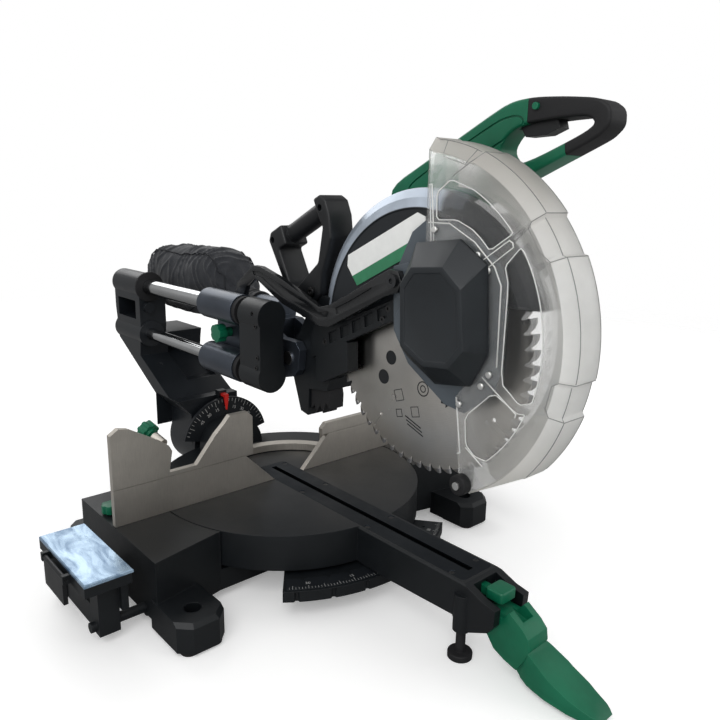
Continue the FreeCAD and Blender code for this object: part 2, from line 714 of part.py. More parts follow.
def head_casting():
    hub = cylx(PIVOT_Y, PIVOT_Z, 22, -15.5, 27.5)
    neck = yz([(-50, 208), (-66, 205), (-68, 243), (-106, 248), (-112, 264), (-130, 310), (-112, 372),
               (-94, 372), (-60, 338), (-48, 318), (-22, 290), (-30, 262)], -15.5, 27.5)
    wide = yz([(-66, 206), (-68, 243), (-106, 248), (-112, 264), (-130, 310), (-118, 336), (-84, 332),
               (-76, 300), (-76, 214)], -24.4, 27.5)
    chute = yz([(-94, 262), (-108, 262), (-157, 286), (-156, 322), (-120, 340), (-94, 340)], -24.4, -7)
    arm = yz(RIB_ARM, -24.4, -16.8)
    plate = shifted([(62, 138), (-44, 138), (-48, -10), (-23, -40), (22, -40)], ARBOR_Y, ARBOR_Z)
    right = yz([(-94, 262), (-94, 360), (-186, 452)] + plate + [(-150, 262)], 22.5, 27.5)
    guard_full = guard_outer()
    guard_region = guard_full.common(yz(GUARD_EDGE, -30, 30))
    blade_room = cylx(ARBOR_Y, ARBOR_Z, BLADE_R + 4.5, -6, 6)
    neck = less(neck, [guard_full])
    wide = less(wide, [cylx(ARBOR_Y, ARBOR_Z, GUARD_R + 0.2, -17, 22.4)])
    body = joined([hub, neck, wide, chute, arm, right])
    body = body.cut(guard_region)
    body = body.cut(blade_room)
    spigot = cylx(HINGE_Y, HINGE_Z, HINGE_R, -30.6, -20)
    body = joined([body, spigot])
    cuts = [cylx(PIVOT_Y, PIVOT_Z, CHOP_PIN_R + RUN, -40, 60)]
    cuts.append(cylx(ARBOR_Y, ARBOR_Z, 13, 10, 40))
    cuts.append(cylx(MOTOR_Y, MOTOR_Z, 9, 10, 40))
    cuts.append(cylx(HINGE_Y, HINGE_Z, 3.1, -40, -10))
    for y, z in ARM_SCREWS:
        cuts.append(cylx(y, z, 4.2, -30, -21.4))
    for i in range(5):
        y = -128 - 22 * i
        z = 322 + 10.4 * i
        cuts.append(yz([(y + 7, z - 7), (y - 9, z + 0.6), (y - 7, z + 14), (y + 9, z + 7)], -30, -21.4))
    body = less(body, cuts)
    return body


CARRY_TOP = [(1, 452), (-92, 498)]
CARRY_OPENING = [(-6, 425), (-94, 465), (-99, 460), (-90, 414), (-46, 378), (-30, 382)]


def transport_handle():
    outline = [(18, 434), (14, 446)] + CARRY_TOP + [(-104, 492), (-112, 474), (-116, 446), (-98, 402),
               (-94, 372.1), (-60, 338.1), (-46, 345), (-26, 358), (-14, 385)]
    body = yz(outline, -CARRY_HALF, CARRY_HALF)
    body = body.cut(yz(CARRY_OPENING, -30, 30))
    body = body.cut(cylx(ARBOR_Y, ARBOR_Z, GUARD_R + 0.2, -30, 30))
    start = V(0, *CARRY_TOP[0])
    line = V(0, *CARRY_TOP[1]) - start
    line.normalize()
    down = V(0, line.z, -line.y)
    if down.z > 0:
        down = down * -1.0
    first = start + line * 12 + down * CARRY_BAR_R
    last = start + line * 90 + down * CARRY_BAR_R
    sides = [first - down * 20, first + down * 18, last + down * 18, last - down * 20]
    body = body.cut(yz([(p.y, p.z) for p in sides], -30, 30))
    body = body.fuse(rod(tuple(first - line * 4), tuple(last + line * 4), CARRY_BAR_R - 0.4))
    for y, z in ((-94, 482), (8, 436)):
        body = body.cut(cylx(y, z, 4.2, -30, -10))
        body = body.cut(cylx(y, z, 4.2, 10, 30))
    body = body.cut(cylx(-80, 376, 3.1, -30, 30))
    return body.removeSplitter()


HANDLE = shifted([(105, 168), (33, 204), (-54, 248), (-72, 254), (-96, 256), (-130, 254), (-166, 250),
                  (-179, 241), (-180, 226), (-170, 216), (-158, 210), (-99, 183), (-38, 154), (0, 134),
                  (62, 130), (96, 138)], ARBOR_Y, ARBOR_Z)
OPENING = shifted([(-56, 206), (-66, 222), (-84, 231), (-122, 234), (-156, 235), (-165, 228),
                   (-152, 219), (-92, 194), (-68, 192)], ARBOR_Y, ARBOR_Z)
GRIP = shifted([(-90, 300), (-90, 223), (-133, 222), (-143, 160), (-208, 160), (-208, 300)],
               ARBOR_Y, ARBOR_Z)
TRIGGER = shifted([(-76, 231), (-120, 236), (-123, 226), (-108, 220), (-84, 219)], ARBOR_Y, ARBOR_Z)


def handle_full():
    body = yz(HANDLE, HANDLE_X0, HANDLE_X1)
    body = body.cut(yz(OPENING, HANDLE_X0 - 5, HANDLE_X1 + 5))
    body = chamfer(body, 5, lambda e: e.BoundBox.XLength < 0.01 and e.BoundBox.YLength > 10 and
                   e.BoundBox.ZMin > ARBOR_Z + 160 and
                   (e.BoundBox.ZMax - ARBOR_Z - 168) * 2 > -(e.BoundBox.YMin - ARBOR_Y - 105) * 0.9 - 4)
    room = yz(shifted([(-75, 222), (-75, 242.9), (-124, 242.9), (-124, 222)], ARBOR_Y, ARBOR_Z),
              HANDLE_MID - TRIGGER_HALF - 0.5, HANDLE_MID + TRIGGER_HALF + 0.5)
    body = body.cut(room)
    body = body.cut(cylx(LOCK_OFF_Y, LOCK_OFF_Z, 3.5 + RUN, 30, 90))
    body = body.cut(cylx(MOTOR_Y, MOTOR_Z, MOTOR_R + 4.6, 20, 100))
    panel = yz(shifted([(72, 172), (30, 193), (-50, 233), (-68, 238), (-70, 230), (-38, 208), (66, 157)],
                       ARBOR_Y, ARBOR_Z), HANDLE_X0 - 1, HANDLE_X0 + 1.5)
    body = body.cut(panel)
    return body


def main_handle():
    return handle_full().cut(yz(GRIP, 20, 100))


def handle_grip():
    return handle_full().common(yz(GRIP, 20, 100))


def trigger():
    return yz(TRIGGER, HANDLE_MID - TRIGGER_HALF, HANDLE_MID + TRIGGER_HALF)


def lock_off_button():
    return cylx(LOCK_OFF_Y, LOCK_OFF_Z, 3.5, HANDLE_X0 - 3, HANDLE_X1 - 0.5)


def belt_cover():
    low = cylx(ARBOR_Y, ARBOR_Z, 42, 27.6, 45.6)
    up = cylx(MOTOR_Y, MOTOR_Z, 54, 27.6, 45.6)
    mid = yz(shifted([(-42, 2), (42, -2), (61, 90), (-47, 92)], ARBOR_Y, ARBOR_Z), 27.6, 45.6)
    tail = yz(shifted([(102, 100), (142, 60), (132, 32), (48, 52), (48, 112)], ARBOR_Y, ARBOR_Z), 27.6, 40)
    cover = joined([low, up, mid, tail])
    hollow = joined([cylx(ARBOR_Y, ARBOR_Z, 36, 27, 42.6), cylx(MOTOR_Y, MOTOR_Z, 24, 27, 42.6),
                     yz(shifted([(-35, 2), (35, -2), (30, 90), (-16, 92)], ARBOR_Y, ARBOR_Z), 27, 42.6)])
    post = yz(shifted([(90, 136), (48, 130), (22, 142), (-38, 152), (-38, 130), (22, 100), (112, 100),
                       (112, 130)], ARBOR_Y, ARBOR_Z), 27.6, 37.9)
    cover = joined([cover, post]).cut(hollow)
    cover = cover.cut(cylx(MOTOR_Y, MOTOR_Z, 9, 20, 60))
    cover = cover.cut(cylx(SPINDLE_Y, SPINDLE_Z, 6 + RUN, 36, 60))
    return cover


def motor_housing():
    body = cylx(MOTOR_Y, MOTOR_Z, MOTOR_R, MOTOR_X0 - 0.35, 168)
    cap = cylx(MOTOR_Y, MOTOR_Z, MOTOR_R - 3, 168, MOTOR_X1)
    cap = fillet(cap, 8, lambda e: abs(e.BoundBox.XMin - MOTOR_X1) < 0.01)
    flange = cylx(MOTOR_Y, MOTOR_Z, MOTOR_R + 4.5, MOTOR_X0 - 0.35, 56)
    body = joined([body, cap, flange])
    body = body.cut(cylx(MOTOR_Y, MOTOR_Z, 43, 52, 184))
    body = body.cut(cylx(MOTOR_Y, MOTOR_Z, 9, 40, 60))
    for i in range(12):
        s = box(170, 181, -2.5, 2.5, 40, 60)
        s.rotate(V(0, 0, 0), V(1, 0, 0), 30 * i)
        s.translate(V(0, MOTOR_Y, MOTOR_Z))
        body = body.cut(s)
    for i in range(10):
        s = box(62, 74, -3, 3, 40, 60)
        s.rotate(V(0, 0, 0), V(1, 0, 0), 36 * i)
        s.translate(V(0, MOTOR_Y, MOTOR_Z))
        body = body.cut(s)
    nut = cyly(150, MOTOR_Z, 10, -210, -196)
    sleeve = cone((150, -196, MOTOR_Z), (150, -176, MOTOR_Z), 8, 5.5)
    gland = joined([nut, sleeve])
    body = body.fuse(gland.cut(cylx(MOTOR_Y, MOTOR_Z, 43, 52, 184)))
    return body.cut(cyly(150, MOTOR_Z, 3.6, -220, -170))


def motor_rotor():
    shaft = cylx(MOTOR_Y, MOTOR_Z, 7, 29, 178)
    core = cylx(MOTOR_Y, MOTOR_Z, 27, 84, 150)
    comm = cylx(MOTOR_Y, MOTOR_Z, 14, 152, 170)
    fan = cylx(MOTOR_Y, MOTOR_Z, 38, 64, 68)
    pulley = cylx(MOTOR_Y, MOTOR_Z, 14, 29, 41)
    parts = [shaft, core, comm, fan, pulley]
    for i in range(10):
        b = box(67, 76, -1.2, 1.2, 16, 38)
        b.rotate(V(0, 0, 0), V(1, 0, 0), 36 * i)
        b.translate(V(0, MOTOR_Y, MOTOR_Z))
        parts.append(b)
    return joined(parts)


def blade():
    pts = []
    for i in range(TEETH):
        a = 2 * math.pi * i / TEETH
        s = 2 * math.pi / TEETH
        for da, r in ((0.0, BLADE_R), (0.30, BLADE_R - 1.2), (0.62, BLADE_R - 5.0), (0.80, BLADE_R - 9.5),
                      (0.93, BLADE_R - 9.0), (0.985, BLADE_R - 4.0)):
            t = a + da * s
            pts.append((ARBOR_Y + r * math.cos(t), ARBOR_Z + r * math.sin(t)))
    disc = yz(pts, -BLADE_T / 2, BLADE_T / 2)
    disc = disc.cut(cylx(ARBOR_Y, ARBOR_Z, BLADE_BORE_R, -5, 5))
    for i in range(4):
        s = box(-5, 5, -0.6, 0.6, BLADE_R - 30, BLADE_R - 8)
        s = s.fuse(cylx(0, BLADE_R - 30, 2.6, -5, 5))
        s.rotate(V(0, 0, 0), V(1, 0, 0), 90 * i + 33)
        s.translate(V(0, ARBOR_Y, ARBOR_Z))
        disc = disc.cut(s)
    return disc


def arbor():
    h = BLADE_T / 2
    parts = [cylx(ARBOR_Y, ARBOR_Z, BLADE_BORE_R, -h, h + 0.4)]
    parts.append(cylx(ARBOR_Y, ARBOR_Z, 29, h, 8))
    parts.append(cylx(ARBOR_Y, ARBOR_Z, 29, -7, -h))
    parts.append(cylx(ARBOR_Y, ARBOR_Z, 10, 7, 42))
    parts.append(cylx(ARBOR_Y, ARBOR_Z, 32, 29, 41))
    hexa = []
    for i in range(6):
        a = math.radians(60 * i)
        hexa.append((ARBOR_Y + 9.5 * math.cos(a), ARBOR_Z + 9.5 * math.sin(a)))
    parts.append(yz(hexa, -14, -6.9))
    return joined(parts)


def drive_belt():
    def loop(r0, r1):
        return joined([cylx(ARBOR_Y, ARBOR_Z, r0, 30, 40), cylx(MOTOR_Y, MOTOR_Z, r1, 30, 40),
                       yz([(ARBOR_Y - r0, ARBOR_Z + r0 * 0.1), (ARBOR_Y + r0, ARBOR_Z + r0 * 0.1),
                           (MOTOR_Y + r1 * 1.0, MOTOR_Z), (MOTOR_Y - r1 * 1.0, MOTOR_Z)], 30, 40)])
    return loop(34.4, 16.4).cut(loop(32.3, 14.3))


def spindle_lock():
    pin = cylx(SPINDLE_Y, SPINDLE_Z, 6, 43.5, 50)
    cap = cylx(SPINDLE_Y, SPINDLE_Z, 10, 50, 55)
    return joined([pin, cap])


def chip_deflector():
    pts = [(-69, 242.9), (-69, 214), (-76, 222), (-80, 212), (-88, 224), (-94, 214), (-100, 230), (-107, 222),
           (-108, 240), (-106.1, 247.9)]
    return yz(pts, -12, 12)


def head_screws():
    out = []
    for y, z in ARM_SCREWS:
        s = cylx(y, z, 4.0, -24.2, -21.4)
        s = s.cut(cylx(y, z, 1.8, -26, -22.6))
        out.append(s)
    for y, z in ((-94, 482), (8, 436)):
        out.append(cylx(y, z, 4.0, -14, -10))
        out.append(cylx(y, z, 4.0, 10, 14))
    bolt = cylx(-80, 376, 3.0, -19.5, 19.5).fuse(cylx(-80, 376, 6.0, -23.5, -19.5))
    bolt = bolt.cut(cylx(-80, 376, 2.6, -26, -21))
    out.append(bolt)
    pin = cylx(HINGE_Y, HINGE_Z, 3.0, -31, -17)
    out.append(pin)
    return Part.makeCompound(out)


SHIELD = shifted([(-14, 280), (-14, 12), (-66, -60), (-74, -144), (-80, -157), (-90, -163),
                  (-149, -129), (-250, -180), (-290, 40), (-230, 280)], HINGE_Y, HINGE_Z, CLEAR_R / 198.0)


def lower_guard():
    rim = CLEAR_R - CLEAR_T
    outer = turned_x([(CLEAR_X0, 0), (CLEAR_X0, CLEAR_R - 12), (-20, CLEAR_R), (14, CLEAR_R),
                      (CLEAR_X1, CLEAR_R - 10), (CLEAR_X1, 0)], HINGE_Y, HINGE_Z)
    inner = turned_x([(CLEAR_X0 + CLEAR_T, 0), (CLEAR_X0 + CLEAR_T, rim - 11), (-19, rim),
                      (13, rim), (CLEAR_X1 - CLEAR_T, rim - 9), (CLEAR_X1 - CLEAR_T, 0)], HINGE_Y, HINGE_Z)
    body = outer.cut(inner).common(yz(SHIELD, -40, 40))
    body = body.cut(cylx(HINGE_Y, HINGE_Z, 90, CLEAR_X0 - 1, 0))
    body = body.cut(cylx(HINGE_Y, HINGE_Z, CLEAR_R - 48, 0, CLEAR_X1 + 1))
    for y, z in RIVETS:
        body = body.cut(cylx(y, z, 2.0, -40, -20))
    body = body.cut(cylx(ROLLER_Y, ROLLER_Z, 2.6, -40, -20))
    return body


RIVETS = shifted([(-26, 106), (-84, 84.5), (-97, 71), (-106, -31), (-97, -44.5), (-70, -70)],
                 HINGE_Y, HINGE_Z)
PLATE = shifted([(34, 38), (30, 60), (8, 102), (-14, 117), (-48, 117), (-82, 100), (-110, 78),
                 (-119, 60), (-120, -25), (-110, -52), (-76, -79), (-48, -76), (8, -42), (32, -8)],
                HINGE_Y, HINGE_Z)


def guard_hub():
    plate = yz(PLATE, -26.4, -24.9)
    ring = cylx(HINGE_Y, HINGE_Z, 27, -30.6, -24.9)
    pad = yz(shifted([(36, 36), (30, 64), (8, 70), (-6, 40), (20, 30)], HINGE_Y, HINGE_Z), -30.9, -24.9)
    body = joined([plate, ring, pad])
    body = body.cut(cylx(HINGE_Y, HINGE_Z, HINGE_R + RUN, -40, -20))
    for y, z in RIVETS:
        body = body.cut(cylx(y, z, 2.0, -40, -20))
    body = body.cut(cylx(LINK_Y, LINK_Z, 3.0, -40, -20))
    return body


COVER_BASE = shifted([(-6, 92), (-64, 99), (-99, 77), (-106, -10), (-86, -47), (-40, -54), (2, -32),
                      (4, 68)], HINGE_Y, HINGE_Z)
COVER_TOP = shifted([(-24, 69), (-66, 73), (-90, 54), (-97, -5), (-79, -26), (-44, -30), (-12, -14),
                     (-9, 50)], HINGE_Y, HINGE_Z)


def hub_cover():
    a = Part.makePolygon([V(-34.0, y, z) for y, z in COVER_BASE + COVER_BASE[:1]])
    b = Part.makePolygon([V(-60.0, y, z) for y, z in COVER_TOP + COVER_TOP[:1]])
    body = Part.makeLoft([a, b], True, True)
    base = yz(COVER_BASE, -34.0, -31.1)
    body = joined([body, base])
    cy = sum(p[0] for p in COVER_TOP) / 8.0
    cz = sum(p[1] for p in COVER_TOP) / 8.0
    small = [(cy + (y - cy) * 0.86, cz + (z - cz) * 0.88) for y, z in COVER_TOP]
    body = body.cut(yz(small, -61, -59.0))
    feet_pts = []
    for y, z in shifted([(-30, 80), (-82, 65), (-90, -15), (-48, -42)], HINGE_Y, HINGE_Z):
        feet_pts.append(cylx(y, z, 5, -31.2, -29.05))
    return joined([body] + feet_pts)


def guard_rivets():
    out = []
    for y, z in RIVETS:
        s = cylx(y, z, 1.95, -29.05, -24.0)
        h = cylx(y, z, 3.6, -31.0, -29.05)
        h = fillet(h, 1.2, lambda e: abs(e.BoundBox.XMin + 31.0) < 0.01)
        out.append(joined([s, h]))
    out.append(roller_screw())
    out.append(link_bolt())
    return Part.makeCompound(out)


def guard_roller():
    body = cylx(ROLLER_Y, ROLLER_Z, 11, -40, -29.4)
    body = fillet(body, 2.0, lambda e: abs(e.BoundBox.XMin + 40) < 0.01)
    return body.cut(cylx(ROLLER_Y, ROLLER_Z, 2.6 + RUN, -50, -20))


def roller_screw():
    return joined([cylx(ROLLER_Y, ROLLER_Z, 2.55, -40.2, -25.5), cylx(ROLLER_Y, ROLLER_Z, 4.2, -42.5, -40.2)])


LINK_TIP = shifted([(7, 12), (-6, 11), (-12, -1), (-6, -12), (14, -19)], LINK_Y, LINK_Z)
LINK = [(68, 373), (28, 401), (10, 401), (-40, 389), (-63, 381), (-118, 363), (-138, 368), (-175, 386)]
LINK += LINK_TIP
LINK += [(-138, 341), (-120, 339), (-40, 357), (-21, 365), (12, 380), (24, 384), (46, 371), (54, 352),
         (60, 342), (72, 342), (77, 352)]


def guard_link():
    body = yz(LINK, -39, -31.1)
    groove = yz([(30, 393), (12, 394), (-40, 381), (-62, 374), (-118, 356), (-136, 360), (-132, 352),
                 (-118, 349), (-42, 366), (10, 387), (26, 388)], -40, -36.5)
    body = body.cut(groove)
    groove2 = yz([(-150, 366), (-176, 378), (-214, 398), (-212, 392), (-176, 370), (-152, 358)], -40, -37.0)
    body = body.cut(groove2)
    body = body.cut(cylx(LINK_Y, LINK_Z, 5 + RUN, -50, -20))
    body = body.cut(cylx(66, 351, 3.5, -50, -20))
    return body


def link_bolt():
    body = joined([cylx(LINK_Y, LINK_Z, 2.95, -39, -25.2), cylx(LINK_Y, LINK_Z, 5, -39.2, -31.0),
                   cylx(LINK_Y, LINK_Z, 7.5, -43, -39.15)])
    return body.cut(cylx(LINK_Y, LINK_Z, 3, -44, -41))


def nodes():
    out = {}
    out["base_casting"] = base_casting()
    out["rubber_feet"] = rubber_feet()
    out["mitre_scale"] = mitre_scale()
    out["fence_fixed"] = fence_fixed()
    out["fence_bolts"] = fence_bolts()
    out["turntable"] = turntable()
    out["kerf_plate"] = kerf_plate()
    out["kerf_screws"] = kerf_screws()
    out["bevel_scale"] = bevel_scale()
    out["levelling_foot"] = levelling_foot()
    out["mitre_lock_handle"] = mitre_lock_handle()
    out["detent_button"] = detent_button()
    out["fence_left"] = sliding_fence(TALL_FENCE, 0)
    out["fence_right"] = flip_x(sliding_fence(LOW_FENCE, LOW_KNOB_DROP))
    out["fence_knob_left"] = fence_knob(0)
    out["fence_knob_right"] = flip_x(fence_knob(LOW_KNOB_DROP))
    out["extension_left"] = extension_left()
    out["extension_right"] = flip_x(extension_left())
    out["extension_plate_left"] = extension_plate()
    out["extension_plate_right"] = flip_x(extension_plate())
    out["flip_stop_left"] = flip_stop()
    out["flip_stop_right"] = flip_x(flip_stop())
    out["extension_knob_left"] = extension_knob()
    out["extension_knob_right"] = flip_x(extension_knob())
    out["bevel_arm"] = bevel_arm()
    out["bevel_pointer"] = bevel_pointer()
    out["rail_upper"] = rail(RAIL_UP_Z, RAIL_UP_R)
    out["rail_lower"] = rail(RAIL_LOW_Z, RAIL_LOW_R)
    out["rail_end_bracket"] = rail_end_bracket()
    out["rail_bumpers"] = rail_bumpers()
    out["set_screws"] = set_screws()
    out["bevel_lock_lever"] = bevel_lock_lever()
    out["carriage"] = carriage()
    out["chop_pin"] = chop_pin()
    out["slide_lock_knob"] = slide_lock_knob()
    out["dust_bag"] = dust_bag()
    out["head_lock_pin"] = head_lock_pin()
    out["head_casting"] = head_casting()
    out["upper_guard"] = upper_guard()
    out["label_plate"] = label_plate()
    out["transport_handle"] = transport_handle()
    out["main_handle"] = main_handle()
    out["handle_grip"] = handle_grip()
    out["trigger"] = trigger()
    out["lock_off_button"] = lock_off_button()
    out["belt_cover"] = belt_cover()
    out["drive_belt"] = drive_belt()
    out["motor_housing"] = motor_housing()
    out["motor_rotor"] = motor_rotor()
    out["blade"] = blade()
    out["arbor"] = arbor()
    out["spindle_lock"] = spindle_lock()
    out["chip_deflector"] = chip_deflector()
    out["head_screws"] = head_screws()
    out["lower_guard"] = lower_guard()
    out["guard_hub"] = guard_hub()
    out["hub_cover"] = hub_cover()
    out["guard_rivets"] = guard_rivets()
    out["guard_roller"] = guard_roller()
    out["guard_link"] = guard_link()
    return out


os.makedirs("parts", exist_ok=True)
for name, shape in nodes().items():
    shape.exportStep("parts/" + name + ".step")
    print(name, len(shape.Solids), round(shape.Volume), shape.isValid())
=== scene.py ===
import math

import bpy
from bpy.props import FloatProperty, FloatVectorProperty, PointerProperty
from bpy.types import Operator, Panel, PropertyGroup
from mathutils import Matrix, Vector, noise


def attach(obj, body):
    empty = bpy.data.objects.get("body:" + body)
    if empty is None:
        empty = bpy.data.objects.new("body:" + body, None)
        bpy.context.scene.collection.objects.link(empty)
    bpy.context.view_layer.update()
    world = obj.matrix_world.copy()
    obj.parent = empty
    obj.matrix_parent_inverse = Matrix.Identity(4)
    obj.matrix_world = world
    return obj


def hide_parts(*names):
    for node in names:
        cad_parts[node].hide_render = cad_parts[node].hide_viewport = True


bl_info = {
    "name": "Sliding mitre saw looks",
    "version": (1, 0, 0),
    "blender": (4, 5, 0),
    "location": "3D View > Sidebar > Mitre saw",
    "description": "Finishes and detail for a sliding mitre saw, built round its frame",
    "category": "Object",
}

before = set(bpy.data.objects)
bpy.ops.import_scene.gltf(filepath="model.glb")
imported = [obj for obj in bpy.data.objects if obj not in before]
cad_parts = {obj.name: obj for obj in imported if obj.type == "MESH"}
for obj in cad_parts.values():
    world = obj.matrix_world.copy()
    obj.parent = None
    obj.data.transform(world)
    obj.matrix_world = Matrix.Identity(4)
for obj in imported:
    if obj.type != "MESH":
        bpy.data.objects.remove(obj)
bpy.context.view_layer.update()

MM = 0.001

# Axes that the round pieces turn about, as (y, z) in millimetres
ARBOR = (-262.0, 340.0)
GUARD_HINGE = (-270.0, 360.0)
MOTOR = (-255.0, 430.0)
LINK_PIVOT = (-248.0, 409.0)

# The axis that the head leans about, as (x, z), and the turntable's axis, as (x, y)
BEVEL_AXIS = (0.0, 92.0)
MITRE_AXIS = (0.0, 0.0)

# Two places closer than this, in metres, are one
TOUCHING = 0.000002


def colour_prop(name, description, rgb):
    return FloatVectorProperty(name=name, description=description, subtype="COLOR", size=3, min=0.0,
                               max=1.0, default=rgb)


def length_prop(name, description, default):
    return FloatProperty(name=name, description=description, subtype="DISTANCE", unit="LENGTH",
                         min=0.0, default=default * MM)


class SawColours(PropertyGroup):
    casting: colour_prop("Casting", "Powder coat on the base, turntable and head", (0.0055, 0.0070, 0.0085))
    arm: colour_prop("Arm", "Paint on the bevel arm", (0.0085, 0.0105, 0.0130))
    carriage: colour_prop("Carriage", "Metallic paint on the rail carriage", (0.060, 0.071, 0.090))
    moulding: colour_prop("Moulding", "Black moulded plastic", (0.0060, 0.0068, 0.0080))
    hub: colour_prop("Hub", "Dark moulding of the guard's hub cover", (0.0135, 0.0165, 0.0195))
    green: colour_prop("Green", "Green moulded plastic", (0.004, 0.125, 0.062))
    guard: colour_prop("Guard", "Silver paint on the upper guard", (0.46, 0.52, 0.60))
    machined: colour_prop("Machined", "Bare machined aluminium", (0.66, 0.62, 0.56))
    blade: colour_prop("Blade", "Ground blade steel", (0.60, 0.58, 0.55))
    steel: colour_prop("Steel", "Zinc plated fasteners", (0.52, 0.52, 0.53))
    chrome: colour_prop("Chrome", "Hard chrome on the rails", (0.62, 0.63, 0.64))
    rubber: colour_prop("Rubber", "Black rubber", (0.0085, 0.0085, 0.0095))
    clear: colour_prop("Clear", "Clear guard plastic", (0.94, 0.94, 0.92))
    label: colour_prop("Label", "White of the label", (0.86, 0.87, 0.85))
    stripe: colour_prop("Stripe", "Green stripe of the label", (0.015, 0.20, 0.085))
    red: colour_prop("Red", "Red of the bevel pointer", (0.62, 0.02, 0.015))
    fabric: colour_prop("Fabric", "Woven dust bag cloth", (0.0075, 0.0090, 0.0125))


class SawSizes(PropertyGroup):
    edge: length_prop("Edge", "Radius of the soft edge on castings", 0.9)
    crisp_edge: length_prop("Crisp edge", "Radius of the soft edge on machined pieces", 0.35)
    floor: length_prop("Floor", "Radius of the pale floor", 3200.0)


def colours():
    return bpy.context.scene.saw_colours


def sizes():
    return bpy.context.scene.saw_sizes


def shade(rgb, factor):
    """The colour made lighter or darker, as a four-number colour."""
    return tuple(min(1.0, c * factor) for c in rgb) + (1.0,)


class Finish:
    """One procedural finish: a Principled shader and the nodes that feed it."""

    def __init__(self, name, **sockets):
        self.material = bpy.data.materials.new(name)
        self.material.use_nodes = True
        self.tree = self.material.node_tree
        self.tree.nodes.clear()
        self.surface = self.add("ShaderNodeBsdfPrincipled")
        self.output = self.add("ShaderNodeOutputMaterial")
        self.tree.links.new(self.surface.outputs[0], self.output.inputs[0])
        self.place = self.add("ShaderNodeTexCoord").outputs["Object"]
        for socket, value in sockets.items():
            self.feed(self.surface.inputs[socket.replace("_", " ")], value)

    def add(self, kind, **settings):
        node = self.tree.nodes.new(kind)
        for name, value in settings.items():
            setattr(node, name, value)
        return node

    def feed(self, socket, value):
        if isinstance(value, bpy.types.NodeSocket):
            self.tree.links.new(value, socket)
        else:
            socket.default_value = value

    def set(self, socket, value):
        self.feed(self.surface.inputs[socket], value)

    def stretched(self, scale, centre=(0, 0, 0), turn=(0, 0, 0)):
        """Object coordinates moved to centre (millimetres), turned and stretched."""
        node = self.add("ShaderNodeMapping", vector_type="TEXTURE")
        self.feed(node.inputs["Vector"], self.place)
        node.inputs["Location"].default_value = tuple(c * MM for c in centre)
        node.inputs["Rotation"].default_value = turn
        node.inputs["Scale"].default_value = tuple(1.0 / s for s in scale)
        return node.outputs[0]

    def noise(self, scale, detail=3.0, roughness=0.55, place=None, distortion=0.0):
        node = self.add("ShaderNodeTexNoise")
        self.feed(node.inputs["Vector"], place or self.place)
        node.inputs["Scale"].default_value = scale
        node.inputs["Detail"].default_value = detail
        node.inputs["Roughness"].default_value = roughness
        node.inputs["Distortion"].default_value = distortion
        return node.outputs["Fac"]

    def spread(self, value, low, high, out_low=0.0, out_high=1.0):
        """The value mapped from low..high to out_low..out_high, held at the ends."""
        node = self.add("ShaderNodeMapRange", clamp=True)
        for socket, given in zip(node.inputs, (value, low, high, out_low, out_high)):
            self.feed(socket, given)
        return node.outputs[0]

    def sum(self, operation, a, b=0.0, c=0.0):
        node = self.add("ShaderNodeMath", operation=operation)
        for socket, given in zip(node.inputs, (a, b, c)):
            self.feed(socket, given)
        return node.outputs[0]

    def vector(self, operation, a, b=(0, 0, 0), out=0):
        node = self.add("ShaderNodeVectorMath", operation=operation)
        self.feed(node.inputs[0], a)
        self.feed(node.inputs[1], b)
        return node.outputs[out]

    def mix(self, share, a, b):
        node = self.add("ShaderNodeMix", data_type="RGBA")
        self.feed(node.inputs[0], share)
        self.feed(node.inputs[6], a)
        self.feed(node.inputs[7], b)
        return node.outputs[2]

    def rounded(self, radius):
        node = self.add("ShaderNodeBevel", samples=4)
        node.inputs["Radius"].default_value = radius
        return node.outputs[0]

    def worn_edge(self, radius):
        """Near 1 along edges and 0 on open faces."""
        facing = self.add("ShaderNodeNewGeometry").outputs["Normal"]
        turned_by = self.vector("DOT_PRODUCT", self.rounded(radius), facing, out=1)
        return self.spread(turned_by, 0.985, 0.80)

    def bump(self, height, strength, distance, normal=None):
        node = self.add("ShaderNodeBump")
        node.inputs["Strength"].default_value = strength
        node.inputs["Distance"].default_value = distance
        self.feed(node.inputs["Height"], height)
        if normal is not None:
            self.feed(node.inputs["Normal"], normal)
        self.set("Normal", node.outputs[0])
        return node.outputs[0]

    def split(self, place=None):
        node = self.add("ShaderNodeSeparateXYZ")
        self.feed(node.inputs[0], place or self.place)
        return node.outputs

    def ring_distance(self, centre):
        """Distance in metres from an axis along X at (y, z) millimetres."""
        flat = self.vector("MULTIPLY", self.place, (0, 1, 1))
        away = self.vector("SUBTRACT", flat, (0, centre[0] * MM, centre[1] * MM))
        return self.vector("LENGTH", away, out=1)


def coated(name, rgb, roughness, edge, grain=1500.0, grain_height=0.00006, wear=0.25, **sockets):
    """Paint, powder coat or moulded plastic: grained, a little uneven and rubbed along its edges."""
    sockets.setdefault("Specular_IOR_Level", 0.32)
    finish = Finish(name, **sockets)
    patches = finish.noise(14.0, 5.0, 0.6)
    skin = finish.noise(grain, 2.0)
    tone = finish.mix(finish.spread(patches, 0.3, 0.7), shade(rgb, 0.82), shade(rgb, 1.22))
    rubs = finish.spread(finish.noise(95.0, 4.0), 0.35, 0.75, 0.2, wear * 2)
    rubbed = finish.sum("MULTIPLY", finish.worn_edge(edge), rubs)
    finish.set("Base Color", finish.mix(rubbed, tone, shade(rgb, 3.2)))
    finish.set("Roughness", finish.spread(patches, 0.25, 0.75, roughness - 0.06, roughness + 0.08))
    finish.bump(skin, 0.6, grain_height, finish.rounded(edge))
    return finish


